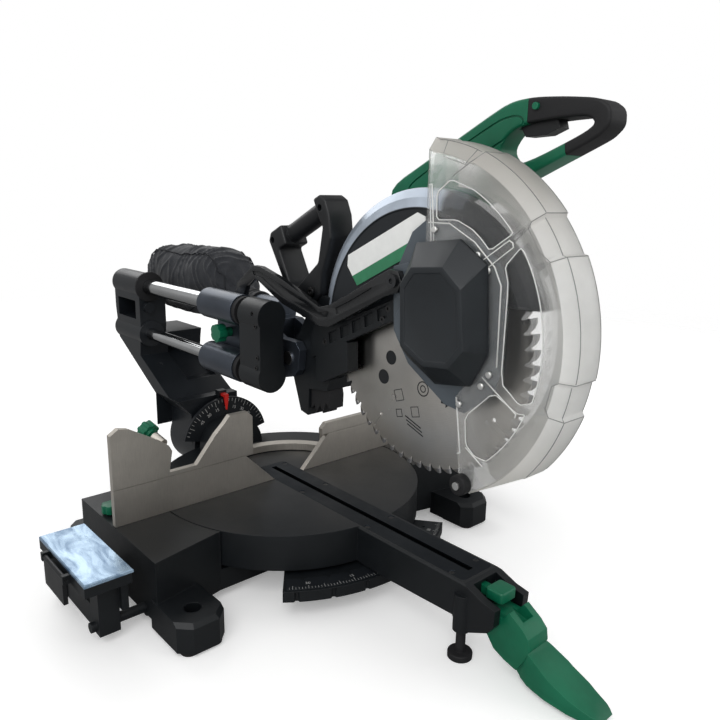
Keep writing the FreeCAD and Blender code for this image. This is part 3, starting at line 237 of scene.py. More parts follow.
def bare_metal(name, rgb, roughness, edge, stretch=(1.0, 1.0, 1.0), scale=900.0, depth=0.00002, **sockets):
    """Bare metal with tool marks drawn out along the axes that stretch makes small."""
    finish = Finish(name, Metallic=1.0, **sockets)
    marks = finish.noise(scale, 3.0, 0.6, finish.stretched(stretch))
    stain = finish.noise(22.0, 5.0, 0.6)
    tone = finish.mix(finish.spread(stain, 0.3, 0.75), shade(rgb, 1.06), shade(rgb, 0.80))
    finish.set("Base Color", finish.mix(finish.spread(marks, 0.4, 0.7, 0.0, 0.35), tone, shade(rgb, 0.7)))
    finish.set("Roughness", finish.spread(stain, 0.3, 0.7, roughness, roughness + 0.12))
    finish.bump(marks, 0.5, depth, finish.rounded(edge))
    return finish


def clear_plastic(name, rgb, haze, roughness, edge, film=1.0):
    """Clear moulded plastic, a little hazy. A film below 1 lets light straight through a thin wall."""
    finish = Finish(name, IOR=1.49, Alpha=film)
    finish.surface.inputs["Transmission Weight"].default_value = 1.0 - haze
    smear = finish.noise(26.0, 4.0, 0.6)
    finish.set("Base Color", finish.mix(finish.spread(smear, 0.35, 0.7), shade(rgb, 1.0), shade(rgb, 0.90)))
    finish.set("Roughness", finish.spread(smear, 0.3, 0.7, roughness, roughness + 0.08))
    finish.bump(finish.noise(20.0, 1.0), 0.05, 0.00003, finish.rounded(edge))
    return finish


def rim_plastic(c, s):
    """The milky rim of the clear guard, a little browner towards its top and its foot."""
    finish = clear_plastic("guard_rim", c.clear, 0.50, 0.36, s.crisp_edge)
    milky = finish.surface.inputs["Base Color"].links[0].from_socket
    height = finish.split()[2]
    top = finish.spread(height, 0.43, 0.53, 0.0, 0.75)
    foot = finish.spread(height, 0.30, 0.21, 0.0, 0.5)
    brown = (0.60, 0.57, 0.52, 1.0)
    finish.set("Base Color", finish.mix(finish.sum("MAXIMUM", top, foot), milky, brown))
    return finish


def zone(finish, value, limit, width=0.0004):
    """0 below the limit and 1 above it."""
    return finish.spread(value, limit - width, limit + width)


def make_finishes():
    """Every finish by its short name, made from the colours and sizes that the user may change."""
    c = colours()
    s = sizes()
    coats = {
        "casting": ("casting_black", c.casting, 0.44, s.edge, 1300.0, 0.00010),
        "arm": ("arm_black", c.arm, 0.34, s.edge, 900.0, 0.00006),
        "carriage": ("carriage_metallic", c.carriage, 0.32, s.edge, 2600.0, 0.000004),
        "moulding": ("moulded_black", c.moulding, 0.40, s.edge, 2100.0, 0.00004),
        "green": ("moulded_green", c.green, 0.36, s.edge, 1700.0, 0.00004, 0.12),
        "rubber": ("rubber_black", c.rubber, 0.66, s.edge, 900.0, 0.00008, 0.05),
        "red": ("pointer_red", c.red, 0.35, s.crisp_edge, 1800.0, 0.00002, 0.05),
        "motor": ("motor_black", c.moulding, 0.46, s.edge, 1500.0, 0.00006),
        "scale": ("scale_dark", c.arm, 0.42, s.crisp_edge, 2600.0, 0.00002),
        "hub_plate": ("hub_plate_grey", shade(c.hub, 5.0)[:3], 0.30, s.edge, 2100.0, 0.00002),
        "grip": ("grip_soft", c.rubber, 0.62, s.edge, 520.0, 0.00022, 0.04),
        "ink": ("blade_ink", shade(c.moulding, 1.6)[:3], 0.5, s.crisp_edge, 2600.0, 0.00001, 0.05),
        "print": ("scale_print", (0.42, 0.42, 0.41), 0.5, s.crisp_edge, 2600.0, 0.00001, 0.05),
        "bag_trim": ("bag_trim", shade(c.fabric, 0.8)[:3], 0.7, s.edge, 900.0, 0.0001, 0.04),
        "hub": ("hub_cover_dark", c.hub, 0.42, s.edge, 2100.0, 0.00003),
        "gloss": ("link_gloss", c.moulding, 0.20, s.edge, 900.0, 0.00002),
    }
    extra = {
        "carriage": {"Metallic": 0.75},
        "hub_plate": {"Coat_Weight": 0.3},
        "hub": {"Specular_IOR_Level": 0.35},
        "gloss": {"Coat_Weight": 0.3},
    }
    metals = {
        "machined": ("machined_aluminium", c.machined, 0.34, s.crisp_edge, (1.0, 1.0, 0.06)),
        "table": ("kerf_plate_dark", shade(c.arm, 2.2)[:3], 0.46, s.crisp_edge, (0.08, 1.0, 1.0)),
        "steel": ("zinc_steel", c.steel, 0.28, s.crisp_edge),
        "screw": ("black_oxide_screws", shade(c.steel, 0.12)[:3], 0.34, s.crisp_edge),
        "carbide": ("carbide_tips", shade(c.steel, 0.62)[:3], 0.30, s.crisp_edge),
    }
    clears = {
        "guard_side": (c.clear, 0.10, 0.20, s.crisp_edge, 0.62),
        # Grey, hazy plastic for the beads along the guard's folds: painted shade.
        "guard_fold_shade": (shade(c.clear, 0.30)[:3], 0.80, 0.35, s.crisp_edge),
        "guard_lip": (c.clear, 0.75, 0.30, s.crisp_edge),
        "guard_window": (c.clear, 0.02, 0.05, s.crisp_edge, 0.30),
    }
    made = {name: coated(*row, **extra.get(name, {})) for name, row in coats.items()}
    made.update((name, bare_metal(*row)) for name, row in metals.items())
    made.update((name, clear_plastic(name, *row)) for name, row in clears.items())
    for name, maker in (("rivet", rivet_metal), ("chrome", rail_chrome), ("guard_rim", rim_plastic),
                        ("guard", guard_paint), ("blade", blade_steel), ("label", label_print),
                        ("bag", bag_cloth), ("plate_blue", extension_paint)):
        made[name] = maker(c, s)
    return made


def rivet_metal(c, s):
    """Bright rivets on the clear guard; the bolt at the link's pivot is black."""
    finish = bare_metal("rivet_metal", (0.80, 0.80, 0.78), 0.30, s.crisp_edge)
    bright = finish.surface.inputs["Base Color"].links[0].from_socket
    near_link = finish.sum("SUBTRACT", 1.0, zone(finish, finish.ring_distance(LINK_PIVOT), 12.0 * MM))
    finish.set("Base Color", finish.mix(near_link, bright, shade(c.moulding, 1.5)))
    finish.set("Metallic", finish.spread(near_link, 0.0, 1.0, 1.0, 0.0))
    return finish


def rail_chrome(c, s):
    """Hard chrome on the rails, with painted shade that darkens their undersides."""
    finish = bare_metal("rail_chrome", c.chrome, 0.07, s.crisp_edge, (1.0, 0.04, 1.0), 700.0, 0.000004)
    bright = finish.surface.inputs["Base Color"].links[0].from_socket
    facing = finish.split(finish.add("ShaderNodeNewGeometry").outputs["Normal"])[2]
    # Painted shade: the chrome is darker where its surface faces down.
    finish.set("Base Color", finish.mix(finish.spread(facing, -0.45, 0.35), shade(c.chrome, 0.30), bright))
    return finish


def guard_paint(c, s):
    """Silver paint on the rim of the upper guard and dark paint in its recess; under the clear guard the rim
    is darkened by painted shade.
    """
    finish = coated("upper_guard_paint", c.guard, 0.36, s.edge, 2400.0, 0.00002)
    recess_radius = 147.8 * MM
    painted_shade_from_y = -292.0 * MM
    recess = finish.sum("SUBTRACT", 1.0, zone(finish, finish.ring_distance(ARBOR), recess_radius))
    # Painted shade: ahead of this y the silver rim takes the recess's dark colour and loses its metal.
    ahead = finish.sum("SUBTRACT", 1.0, zone(finish, finish.split()[1], painted_shade_from_y, 0.004))
    # The dark colour is the recess's real paint and, ahead of the limit, painted shade on the rim.
    inside = finish.sum("MAXIMUM", recess, ahead)
    silver = finish.surface.inputs["Base Color"].links[0].from_socket
    finish.set("Base Color", finish.mix(inside, silver, shade(c.arm, 1.2)))
    finish.set("Metallic", finish.spread(inside, 0.0, 1.0, 0.65, 0.0))
    return finish


def blade_steel(c, s):
    """Steel ground in fine rings about the arbor, so that light fans out across it."""
    finish = Finish("blade_ground", Metallic=1.0, Anisotropic=0.75)
    radius = finish.ring_distance(ARBOR)
    rings = finish.add("ShaderNodeTexNoise", noise_dimensions="1D")
    finish.feed(rings.inputs["W"], radius)
    rings.inputs["Scale"].default_value = 2600.0
    rings.inputs["Detail"].default_value = 3.0
    stain = finish.noise(18.0, 5.0, 0.6)
    ground = finish.spread(rings.outputs["Fac"], 0.35, 0.65)
    tone = finish.mix(ground, shade(c.blade, 0.86), shade(c.blade, 1.10))
    tip = zone(finish, radius, 147.5 * MM)
    body = finish.mix(finish.spread(stain, 0.45, 0.8, 0.0, 0.4), tone, shade(c.blade, 0.62))
    finish.set("Base Color", finish.mix(tip, body, shade(c.blade, 0.45)))
    finish.set("Roughness", finish.spread(stain, 0.3, 0.7, 0.26, 0.36))
    away = finish.vector("SUBTRACT", finish.vector("MULTIPLY", finish.place, (0, 1, 1)),
                         (0, ARBOR[0] * MM, ARBOR[1] * MM))
    finish.set("Tangent", finish.vector("NORMALIZE", finish.vector("CROSS_PRODUCT", away, (1, 0, 0))))
    finish.bump(rings.outputs["Fac"], 0.15, 0.000012, finish.rounded(s.crisp_edge * 0.5))
    return finish


def label_print(c, s):
    """A bare white label whose lower part is a green stripe, parted along the label's slope."""
    finish = Finish("label_print", Roughness=0.24, Coat_Weight=0.4)
    y, z = finish.split()[1:]
    low_end, high_end = (165.0, 393.0), (276.0, 448.0)
    slope = (high_end[1] - low_end[1]) / (high_end[0] - low_end[0])
    foot = low_end[1] - slope * low_end[0]
    above = finish.sum("SUBTRACT", z, finish.sum("MULTIPLY_ADD", y, -slope, foot * MM))
    stripe_height = 15.0 * MM
    white = zone(finish, above, stripe_height, 0.0003)
    speckle = finish.noise(60.0, 4.0)
    paper = finish.mix(finish.spread(speckle, 0.3, 0.7), shade(c.label, 0.96), shade(c.label, 1.03))
    ink = finish.mix(finish.spread(speckle, 0.3, 0.7), shade(c.stripe, 0.9), shade(c.stripe, 1.12))
    finish.set("Base Color", finish.mix(white, ink, paper))
    finish.bump(finish.noise(900.0, 2.0), 0.1, 0.00002, finish.rounded(s.crisp_edge))
    return finish


def bag_cloth(c, s):
    """Black woven cloth: crossed threads, a soft sheen and dusty patches."""
    finish = Finish("bag_cloth", Roughness=0.82, Sheen_Weight=0.16, Sheen_Roughness=0.45)
    across = finish.noise(1.0, 0.0, 0.0, finish.stretched((900.0, 120.0, 2200.0)))
    along = finish.noise(1.0, 0.0, 0.0, finish.stretched((900.0, 2200.0, 120.0)))
    weave = finish.sum("MAXIMUM", across, along)
    dust = finish.noise(20.0, 5.0, 0.65)
    tone = finish.mix(finish.spread(weave, 0.45, 0.7), shade(c.fabric, 0.65), shade(c.fabric, 1.7))
    dusty = (0.045, 0.047, 0.054, 1.0)
    finish.set("Base Color", finish.mix(finish.spread(dust, 0.5, 0.8, 0.0, 0.18), tone, dusty))
    finish.bump(weave, 0.7, 0.0003)
    return finish


def extension_paint(c, s):
    """The metal plates of the side extensions: smeared, bluish and silvery."""
    finish = Finish("extension_plate_metal", Metallic=0.55)
    smear = finish.noise(38.0, 6.0, 0.7, finish.stretched((1.0, 0.35, 1.0)), 1.2)
    blue, silvery = (0.075, 0.15, 0.26, 1.0), (0.42, 0.56, 0.70, 1.0)
    finish.set("Base Color", finish.mix(finish.spread(smear, 0.36, 0.64), blue, silvery))
    finish.set("Roughness", finish.spread(smear, 0.3, 0.7, 0.34, 0.22))
    finish.bump(smear, 0.25, 0.0003, finish.rounded(s.crisp_edge))
    return finish


# The frame's nodes by finish; a node that a piece stands for later has its finish here too
NODE_FINISHES = {
    "casting": ["base_casting", "turntable", "head_casting", "rail_end_bracket", "extension_left",
                "extension_right", "belt_cover"],
    "arm": ["bevel_arm"],
    "carriage": ["carriage"],
    "moulding": ["transport_handle", "handle_grip", "hub_cover", "guard_link", "trigger", "flip_stop_left",
                 "flip_stop_right", "bevel_lock_lever", "head_lock_pin", "spindle_lock"],
    "hub_plate": ["guard_hub"],
    "green": ["main_handle", "mitre_lock_handle", "detent_button", "fence_knob_left", "fence_knob_right",
              "slide_lock_knob", "lock_off_button", "extension_knob_left", "extension_knob_right"],
    "rubber": ["rubber_feet", "levelling_foot", "rail_bumpers", "guard_roller", "drive_belt",
               "chip_deflector"],
    "red": ["bevel_pointer"],
    "motor": ["motor_housing"],
    "scale": ["mitre_scale", "bevel_scale"],
    "machined": ["fence_fixed", "fence_left", "fence_right"],
    "table": ["kerf_plate"],
    "steel": ["fence_bolts", "chop_pin", "arbor", "motor_rotor"],
    "rivet": ["guard_rivets"],
    "screw": ["kerf_screws", "set_screws", "head_screws"],
    "chrome": ["rail_upper", "rail_lower"],
    "guard_side": ["lower_guard"],
    "guard": ["upper_guard"],
    "blade": ["blade"],
    "label": ["label_plate"],
    "bag": ["dust_bag"],
    "plate_blue": ["extension_plate_left", "extension_plate_right"],
}

# Filled by the first operator and read by paint()
FINISHES = {}


def deselect():
    if bpy.context.mode != "OBJECT":
        bpy.ops.object.mode_set(mode="OBJECT")
    bpy.ops.object.select_all(action="DESELECT")


def paint(piece, *finishes):
    piece.data.materials.clear()
    for name in finishes:
        piece.data.materials.append(FINISHES[name].material)


def choose(piece):
    """Make the piece the only selected and active object."""
    deselect()
    piece.select_set(True)
    bpy.context.view_layer.objects.active = piece


def edit(piece):
    """Open the piece in edit mode with all of it selected."""
    choose(piece)
    bpy.ops.object.mode_set(mode="EDIT")
    bpy.ops.mesh.select_all(action="SELECT")


def modify(piece, kind, **settings):
    """Add one modifier, set it and apply it."""
    choose(piece)
    bpy.ops.object.modifier_add(type=kind)
    modifier = piece.modifiers[-1]
    for name, value in settings.items():
        setattr(modifier, name, value)
    bpy.ops.object.modifier_apply(modifier=modifier.name)


def soften(piece, width, segments=2, angle=28.0, smooth=35.0):
    """Round the sharp edges, width in millimetres, and shade the rest smooth."""
    modify(piece, "BEVEL", width=width * MM, segments=segments, limit_method="ANGLE",
           angle_limit=math.radians(angle), use_clamp_overlap=True, miter_outer="MITER_ARC")
    choose(piece)
    bpy.ops.object.shade_smooth_by_angle(angle=math.radians(smooth))


def carve(piece, tool, operation="DIFFERENCE"):
    """Cut, join or meet the piece with a tool body, which is used up."""
    modify(piece, "BOOLEAN", object=tool, operation=operation, solver="EXACT")
    bpy.data.objects.remove(tool, do_unlink=True)
    if not piece.data.vertices:
        raise RuntimeError("Nothing is left of " + piece.name)


def join(piece, *others):
    """Join the others into the piece, with their finishes."""
    choose(piece)
    for other in others:
        other.select_set(True)
    bpy.ops.object.join()
    return piece


def plate(name, outline, low, high, across="x"):
    """A flat piece: a ring of corners (millimetres) is filled and drawn out along one axis."""
    deselect()
    bpy.ops.mesh.primitive_circle_add(vertices=len(outline), fill_type="NGON")
    piece = bpy.context.object
    piece.name = name
    axis = "xyz".index(across)
    first, second = [i for i in range(3) if i != axis]
    for vertex, (a, b) in zip(piece.data.vertices, outline):
        vertex.co[axis] = low * MM
        vertex.co[first] = a * MM
        vertex.co[second] = b * MM
    edit(piece)
    shift = [0.0, 0.0, 0.0]
    shift[axis] = (high - low) * MM
    bpy.ops.mesh.extrude_region_move(TRANSFORM_OT_translate={"value": shift})
    bpy.ops.mesh.select_all(action="SELECT")
    bpy.ops.mesh.normals_make_consistent(inside=False)
    bpy.ops.object.mode_set(mode="OBJECT")
    return piece


def disc(name, centre, radius, low, high, across="x", sides=32):
    """A round flat piece about an axis through centre, in millimetres."""
    return plate(name, arc(centre, radius, 0.0, 360.0, sides)[:-1], low, high, across)


def turned(name, profile, centre, across="x", sides=48):
    """A piece turned on a lathe: the profile (along, radius) is spun about an axis through centre."""
    deselect()
    bpy.ops.mesh.primitive_circle_add(vertices=len(profile), fill_type="NOTHING")
    piece = bpy.context.object
    piece.name = name
    axis = "xyz".index(across)
    first, second = [i for i in range(3) if i != axis]
    middle_point = [0.0, 0.0, 0.0]
    middle_point[first] = centre[0] * MM
    middle_point[second] = centre[1] * MM
    for vertex, (along, radius) in zip(piece.data.vertices, profile):
        vertex.co[axis] = along * MM
        vertex.co[first] = (centre[0] + radius) * MM
        vertex.co[second] = centre[1] * MM
    edit(piece)
    spindle = [0.0, 0.0, 0.0]
    spindle[axis] = 1.0
    bpy.ops.mesh.spin(steps=sides, angle=2 * math.pi, center=middle_point, axis=spindle)
    bpy.ops.mesh.select_all(action="SELECT")
    bpy.ops.mesh.remove_doubles(threshold=TOUCHING)
    bpy.ops.mesh.normals_make_consistent(inside=False)
    bpy.ops.object.mode_set(mode="OBJECT")
    return piece


def bead(name, points, radius, closed=True, sides=2):
    """A thin round bead, welt or ridge along points in millimetres."""
    deselect()
    bpy.ops.curve.primitive_nurbs_path_add()
    piece = bpy.context.object
    piece.name = name
    curve = piece.data
    curve.splines.clear()
    line = curve.splines.new("POLY")
    line.points.add(len(points) - 1)
    for point, place in zip(line.points, points):
        point.co = (place[0] * MM, place[1] * MM, place[2] * MM, 1.0)
    line.use_cyclic_u = closed
    curve.dimensions = "3D"
    curve.bevel_depth = radius * MM
    curve.bevel_resolution = sides
    curve.use_fill_caps = True
    choose(piece)
    bpy.ops.object.convert(target="MESH")
    piece = bpy.context.object
    edit(piece)
    bpy.ops.mesh.remove_doubles(threshold=TOUCHING)
    bpy.ops.mesh.normals_make_consistent(inside=False)
    bpy.ops.object.mode_set(mode="OBJECT")
    bpy.ops.object.shade_smooth()
    return piece


def node_copy(name, *nodes):
    """Copies of frame nodes as one clean mesh: doubles merged, flat triangles joined."""
    copies = []
    for node in nodes:
        twin = bpy.data.objects.new(name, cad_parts[node].data.copy())
        bpy.context.scene.collection.objects.link(twin)
        copies.append(twin)
    piece = join(*copies) if len(copies) > 1 else copies[0]
    edit(piece)
    bpy.ops.mesh.remove_doubles(threshold=0.00001)
    bpy.ops.mesh.dissolve_limited(angle_limit=math.radians(0.6))
    bpy.ops.object.mode_set(mode="OBJECT")
    return piece


def fit(piece, body, slot, *nodes):
    """Let the piece ride on a body and stand for frame nodes, which are hidden; the slot is not used."""
    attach(piece, body)
    if nodes:
        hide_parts(*nodes)
    return piece


class SAW_OT_finish_frame(Operator):
    """Give every piece of the frame its own finish"""

    bl_idname = "saw.finish_frame"
    bl_label = "Finish the frame's pieces"

    def execute(self, context):
        FINISHES.update(make_finishes())
        for finish, nodes in NODE_FINISHES.items():
            for node in nodes:
                paint(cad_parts[node], finish)
        return {"FINISHED"}


def eased(outline, rounds=2, share=0.25):
    """The closed outline with its corners cut again and again, so that it runs smoothly."""
    for _ in range(rounds):
        cut = []
        for i, (a, b) in enumerate(outline):
            c, d = outline[(i + 1) % len(outline)]
            cut.append((a + (c - a) * share, b + (d - b) * share))
            cut.append((c + (a - c) * share, d + (b - d) * share))
        outline = cut
    return outline


def arc(centre, radius, first, last, steps):
    """Points on an arc about centre, angles in degrees."""
    turns = [math.radians(first + (last - first) * i / steps) for i in range(steps + 1)]
    return [(centre[0] + radius * math.cos(t), centre[1] + radius * math.sin(t)) for t in turns]


def lifted(outline, x):
    """Outline points as places on the plane at x."""
    return [(x, y, z) for y, z in outline]


# Clear guard: its outline and windows as (y, z)
GUARD_SHIELD = [(-284, 640), (-284, 372), (-336, 300), (-344, 216), (-350, 203), (-360, 197),
                (-419, 231), (-520, 180), (-560, 400), (-500, 640)]
GUARD_WINDOWS = [
    [(-297, 503), (-315, 516), *arc(GUARD_HINGE, 164, 117, 139, 8), (-368, 450), (-356, 461),
     (-345, 469), (-325, 477), (-298, 476)],
    [(-387, 437), (-403, 455), *arc(GUARD_HINGE, 165, 146, 197, 16), (-414, 307), (-391, 324),
     (-392, 420)],
    [(-349, 279), (-352, 249), (-364, 240), *arc(GUARD_HINGE, 163, 228, 202, 12), (-412, 298),
     (-383, 312)],
]

# Its cross-section as (x, radius): the side wall, the shoulder and the rim, out and back in
GUARD_SECTION = [(-29, 90), (-29, 186), (-20, 198), (14, 198), (21, 188), (21, 150), (18.5, 150),
                 (18.5, 186.5), (13, 195.5), (-19, 195.5), (-26.5, 184.5), (-26.5, 90)]
GUARD_FIRST, GUARD_SWEEP = 86.0, 176
RIM_FROM = 182.0
MILKY_FROM = 183.2

# Where the rim steps in: from and to (degrees about the hinge) and by how much
GUARD_STEPS = ((95.0, 113.0, 1.6), (140.0, 153.0, 3.4), (187.0, 198.0, 3.4))

# Folds of the steps as (x, radius, angle), along which grey beads are painted shade, and the raised lines on
# the side as (y, z)
GUARD_FOLDS = [
    [(14, 198, 114), (-20, 198, 113.5), (-29, 186, 111.5), (-29.1, 166, 106.5)],
    [(14, 198, 140.1), (-20, 198, 140.0), (-29, 186, 140.1), (-29.1, 183, 141.0), (-29.1, 183, 149.0),
     (-29, 186, 152.9), (-20, 198, 153.0), (14, 198, 153.1)],
    [(14, 198, 187.0), (-20, 198, 187.0), (-29, 186, 187.0), (-29.1, 183, 188.5), (-29.1, 183, 196.0),
     (-29, 186, 197.9), (-20, 198, 198.0), (14, 198, 198.1)],
    [(-20, 198, 99), (-28.8, 186, 100.5), (-29.1, 181, 100.8), (-29.1, 181, 110.2), (-28.8, 186, 110.4),
     (-20, 198, 110.6)],
]
CLOSED_RIBS = [
    [(-287, 511), (-290, 511), (-295.5, 455), (-292, 452)],
    [(-354, 436), (-390, 461), (-394, 459), (-395, 455), (-362, 430)],
]
OPEN_RIBS = [
    [(-368, 325), (-411, 297), (-410, 293)],
    [(-336, 297), (-345, 238), (-341, 236)],
    [(-375, 232), (-352, 246)],
    [(-287, 473), (-316, 473), (-349, 457), (-375, 435), (-384, 418), (-385, 338)],
]


class SAW_OT_clear_guard(Operator):
    """Mould the clear blade guard: a milky stepped rim, clear windows and their lips"""

    bl_idname = "saw.clear_guard"
    bl_label = "Clear guard"

    def execute(self, context):
        shell = self.shell()
        windows = [eased(window, 1, 0.12) for window in GUARD_WINDOWS]
        for window in windows:
            carve(shell, plate("Window_cutter", window, -31.0, -25.0))
        paint(shell, "guard_side", "guard_rim")
        for face in shell.data.polygons:
            x, y, z = face.center / MM
            away = math.hypot(y - GUARD_HINGE[0], z - GUARD_HINGE[1])
            face.material_index = 1 if away > MILKY_FROM or x > 0.0 else 0
        soften(shell, 0.5, 1, 40.0)
        details = []
        for window in windows:
            pane = plate("Pane", window, -28.0, -26.9)
            paint(pane, "guard_window")
            details += [pane, self.line("Lip", lifted(window, -29.1), 0.6, "guard_lip", True)]
        for ribs, closed in ((CLOSED_RIBS, True), (OPEN_RIBS, False)):
            details += [self.line("Rib", lifted(rib, -29.2), 0.75, "guard_lip", closed) for rib in ribs]
        # Grey beads along the rim's shoulders and folds: painted shade of the folds in the clear plastic.
        for x in (-20.0, 14.0):
            edge = [self.on_guard(x, 198.0, 94.6 + i * 0.9) for i in range(140)]
            details.append(self.line("Fold_shade", edge, 0.42, "guard_fold_shade"))
        for fold in GUARD_FOLDS:
            places = [self.on_guard(*place) for place in fold]
            details.append(self.line("Fold_shade", places, 0.42, "guard_fold_shade"))
        join(shell, *details)
        fit(shell, "lower_guard", "clear_plastic", "lower_guard")
        return {"FINISHED"}

    def line(self, name, places, radius, finish, closed=False):
        line = bead(name, places, radius, closed)
        paint(line, finish)
        return line

    def step(self, radius, angle):
        """How far the rim steps in at a radius and an angle about the hinge."""
        if radius >= RIM_FROM:
            for low, high, depth in GUARD_STEPS:
                if low + 0.2 < angle < high - 0.2:
                    return depth
        return 0.0

    def on_guard(self, x, radius, angle):
        """A place on the guard by its radius and its angle about the hinge."""
        y, z = arc(GUARD_HINGE, radius - self.step(radius, angle), angle, angle, 1)[0]
        return (x, y, z)

    def shell(self):
        """The guard's section spun about the hinge, stepped in along the rim and cut to its outline."""
        deselect()
        bpy.ops.mesh.primitive_circle_add(vertices=len(GUARD_SECTION), fill_type="NGON")
        shell = bpy.context.object
        shell.name = "Clear_guard"
        for vertex, (x, radius) in zip(shell.data.vertices, GUARD_SECTION):
            y, z = arc(GUARD_HINGE, radius, GUARD_FIRST, GUARD_FIRST, 1)[0]
            vertex.co = (x * MM, y * MM, z * MM)
        edit(shell)
        hinge = Vector((0.0, *GUARD_HINGE)) * MM
        bpy.ops.mesh.spin(steps=GUARD_SWEEP, angle=math.radians(GUARD_SWEEP), center=hinge,
                          axis=(-1.0, 0.0, 0.0))
        bpy.ops.mesh.select_all(action="SELECT")
        bpy.ops.mesh.normals_make_consistent(inside=False)
        bpy.ops.object.mode_set(mode="OBJECT")
        for vertex in shell.data.vertices:
            away = vertex.co - hinge
            away.x = 0.0
            angle = math.degrees(math.atan2(away.z, away.y)) % 360.0
            vertex.co -= away.normalized() * self.step(away.length / MM, angle) * MM
        carve(shell, plate("Guard_edge", GUARD_SHIELD, -45.0, 45.0), "INTERSECT")
        return shell


class SAW_OT_knobs(Operator):
    """Soften the moulded knobs, the lock handle and the levers"""

    bl_idname = "saw.knobs"
    bl_label = "Knobs and levers"

    def execute(self, context):
        green = [("Knob_fence_left", "fence_knob_left", 1.6), ("Knob_fence_right", "fence_knob_right", 1.6),
                 ("Knob_slide", "slide_lock_knob", 1.6),
                 ("Knob_extension_left", "extension_knob_left", 1.3),
                 ("Knob_extension_right", "extension_knob_right", 1.3),
                 ("Mitre_lock_paddle", "mitre_lock_handle", 2.2), ("Detent_cap", "detent_button", 1.0)]
        soft = [(name, node, "green_plastic", width, "green") for name, node, width in green]
        soft += [("Bevel_lever", "bevel_lock_lever", "black_plastic", 2.0, "moulding"),
                 ("Hub_cap", "hub_cover", "black_plastic", 1.3, "hub"),
                 ("Guard_link_arm", "guard_link", "black_plastic", 1.3, "gloss")]
        for name, node, slot, width, finish in soft:
            piece = node_copy(name, node)
            soften(piece, width, 3)
            paint(piece, finish)
            fit(piece, "lower_guard" if node == "hub_cover" else node, slot, node)
        return {"FINISHED"}


def moved(outline, centre):
    """Outline points given from a centre, as places in the saw's frame."""
    return [(centre[0] + a, centre[1] + b) for a, b in outline]


def inset(outline, distance):
    """The closed outline drawn in by a distance; a negative distance lets it out."""
    area = sum(a[0] * b[1] - b[0] * a[1] for a, b in zip(outline, outline[1:] + outline[:1]))
    turn = distance if area > 0 else -distance
    drawn = []
    for i, here in enumerate(outline):
        come = (Vector(here) - Vector(outline[i - 1])).normalized()
        go = (Vector(outline[(i + 1) % len(outline)]) - Vector(here)).normalized()
        both = Vector((-come.y - go.y, come.x + go.x))
        both *= turn / max(0.6, 1.0 + come.dot(go))
        drawn.append((here[0] + both.x, here[1] + both.y))
    return drawn


def copied(piece, change):
    """A copy of the piece with a mesh of its own, changed by a matrix."""
    twin = bpy.data.objects.new(piece.name, piece.data.copy())
    bpy.context.scene.collection.objects.link(twin)
    twin.data.transform(change)
    return twin


def about(centre, angle, across="x"):
    """A turn by degrees about an axis through centre, in millimetres."""
    place = [centre[0] * MM, centre[1] * MM]
    place.insert("xyz".index(across), 0.0)
    shift = Matrix.Translation(Vector(place))
    return shift @ Matrix.Rotation(math.radians(angle), 4, across.upper()) @ shift.inverted()


def drop(piece):
    bpy.data.objects.remove(piece, do_unlink=True)


# Operating handle: its sides in x, and its outlines drawn from the arbor
HANDLE_LEFT, HANDLE_RIGHT = 38.0, 70.0
HANDLE = moved([(105, 168), (33, 204), (-54, 248), (-72, 254), (-96, 256), (-130, 254), (-166, 250),
                (-179, 241), (-180, 226), (-170, 216), (-158, 210), (-99, 183), (-38, 154), (0, 134),
                (62, 130), (96, 138)], ARBOR)
HANDLE_OPENING = moved([(-56, 206), (-66, 222), (-84, 231), (-122, 234), (-156, 235), (-165, 228),
                        (-152, 219), (-92, 194), (-68, 192)], ARBOR)
HANDLE_PANEL = moved([(78, 168), (30, 194), (-50, 235), (-68, 240), (-82, 240), (-88, 233), (-80, 224),
                      (-44, 206), (66, 150)], ARBOR)
GRIP_REGION = moved([(-90, 300), (-90, 223), (-133, 222), (-143, 160), (-208, 160), (-208, 300)], ARBOR)
TRIGGER_POCKET = [(-337, 560), (-337, 582.9), (-386, 582.9), (-386, 560)]
LOCK_OFF = (ARBOR[0] - 100, ARBOR[1] + 247)
MOTOR_ROOM = 54.7


class SAW_OT_operating_handle(Operator):
    """Mould the green operating handle with its panel groove, black grip, trigger and button"""

    bl_idname = "saw.operating_handle"
    bl_label = "Operating handle"

    def execute(self, context):
        body = plate("Operating_handle", eased(HANDLE, 2, 0.2), HANDLE_LEFT, HANDLE_RIGHT)
        opening = eased(HANDLE_OPENING, 2, 0.22)
        carve(body, plate("Handle_room", opening, HANDLE_LEFT - 9, HANDLE_RIGHT + 9))
        soften(body, 7.0, 5, 60.0, 40.0)
        carve(body, disc("Motor_room", MOTOR, MOTOR_ROOM, 20.0, 90.0, sides=96))
        middle = (HANDLE_LEFT + HANDLE_RIGHT) / 2
        carve(body, plate("Trigger_room", TRIGGER_POCKET, middle - 8.5, middle + 8.5))
        carve(body, disc("Button_room", LOCK_OFF, 3.6, 20.0, 90.0))
        panel = eased(HANDLE_PANEL, 2, 0.25)
        groove = plate("Panel_groove", panel, HANDLE_LEFT - 2, HANDLE_LEFT + 1.8)
        carve(groove, plate("Panel_face", inset(panel, 2.2), HANDLE_LEFT - 5, HANDLE_LEFT + 5))
        carve(body, groove)
        grip = copied(body, Matrix())
        grip.name = "Handle_over_mould"
        carve(grip, plate("Grip_region", GRIP_REGION, 20.0, 90.0), "INTERSECT")
        carve(body, plate("Grip_region", inset(GRIP_REGION, -0.4), 20.0, 90.0))
        for piece, finish, slot, node in ((body, "green", "green_plastic", "main_handle"),
                                          (grip, "grip", "rubber", "handle_grip")):
            choose(piece)
            bpy.ops.object.shade_smooth_by_angle(angle=math.radians(40.0))
            paint(piece, finish)
            fit(piece, "head", slot, node)
        return {"FINISHED"}


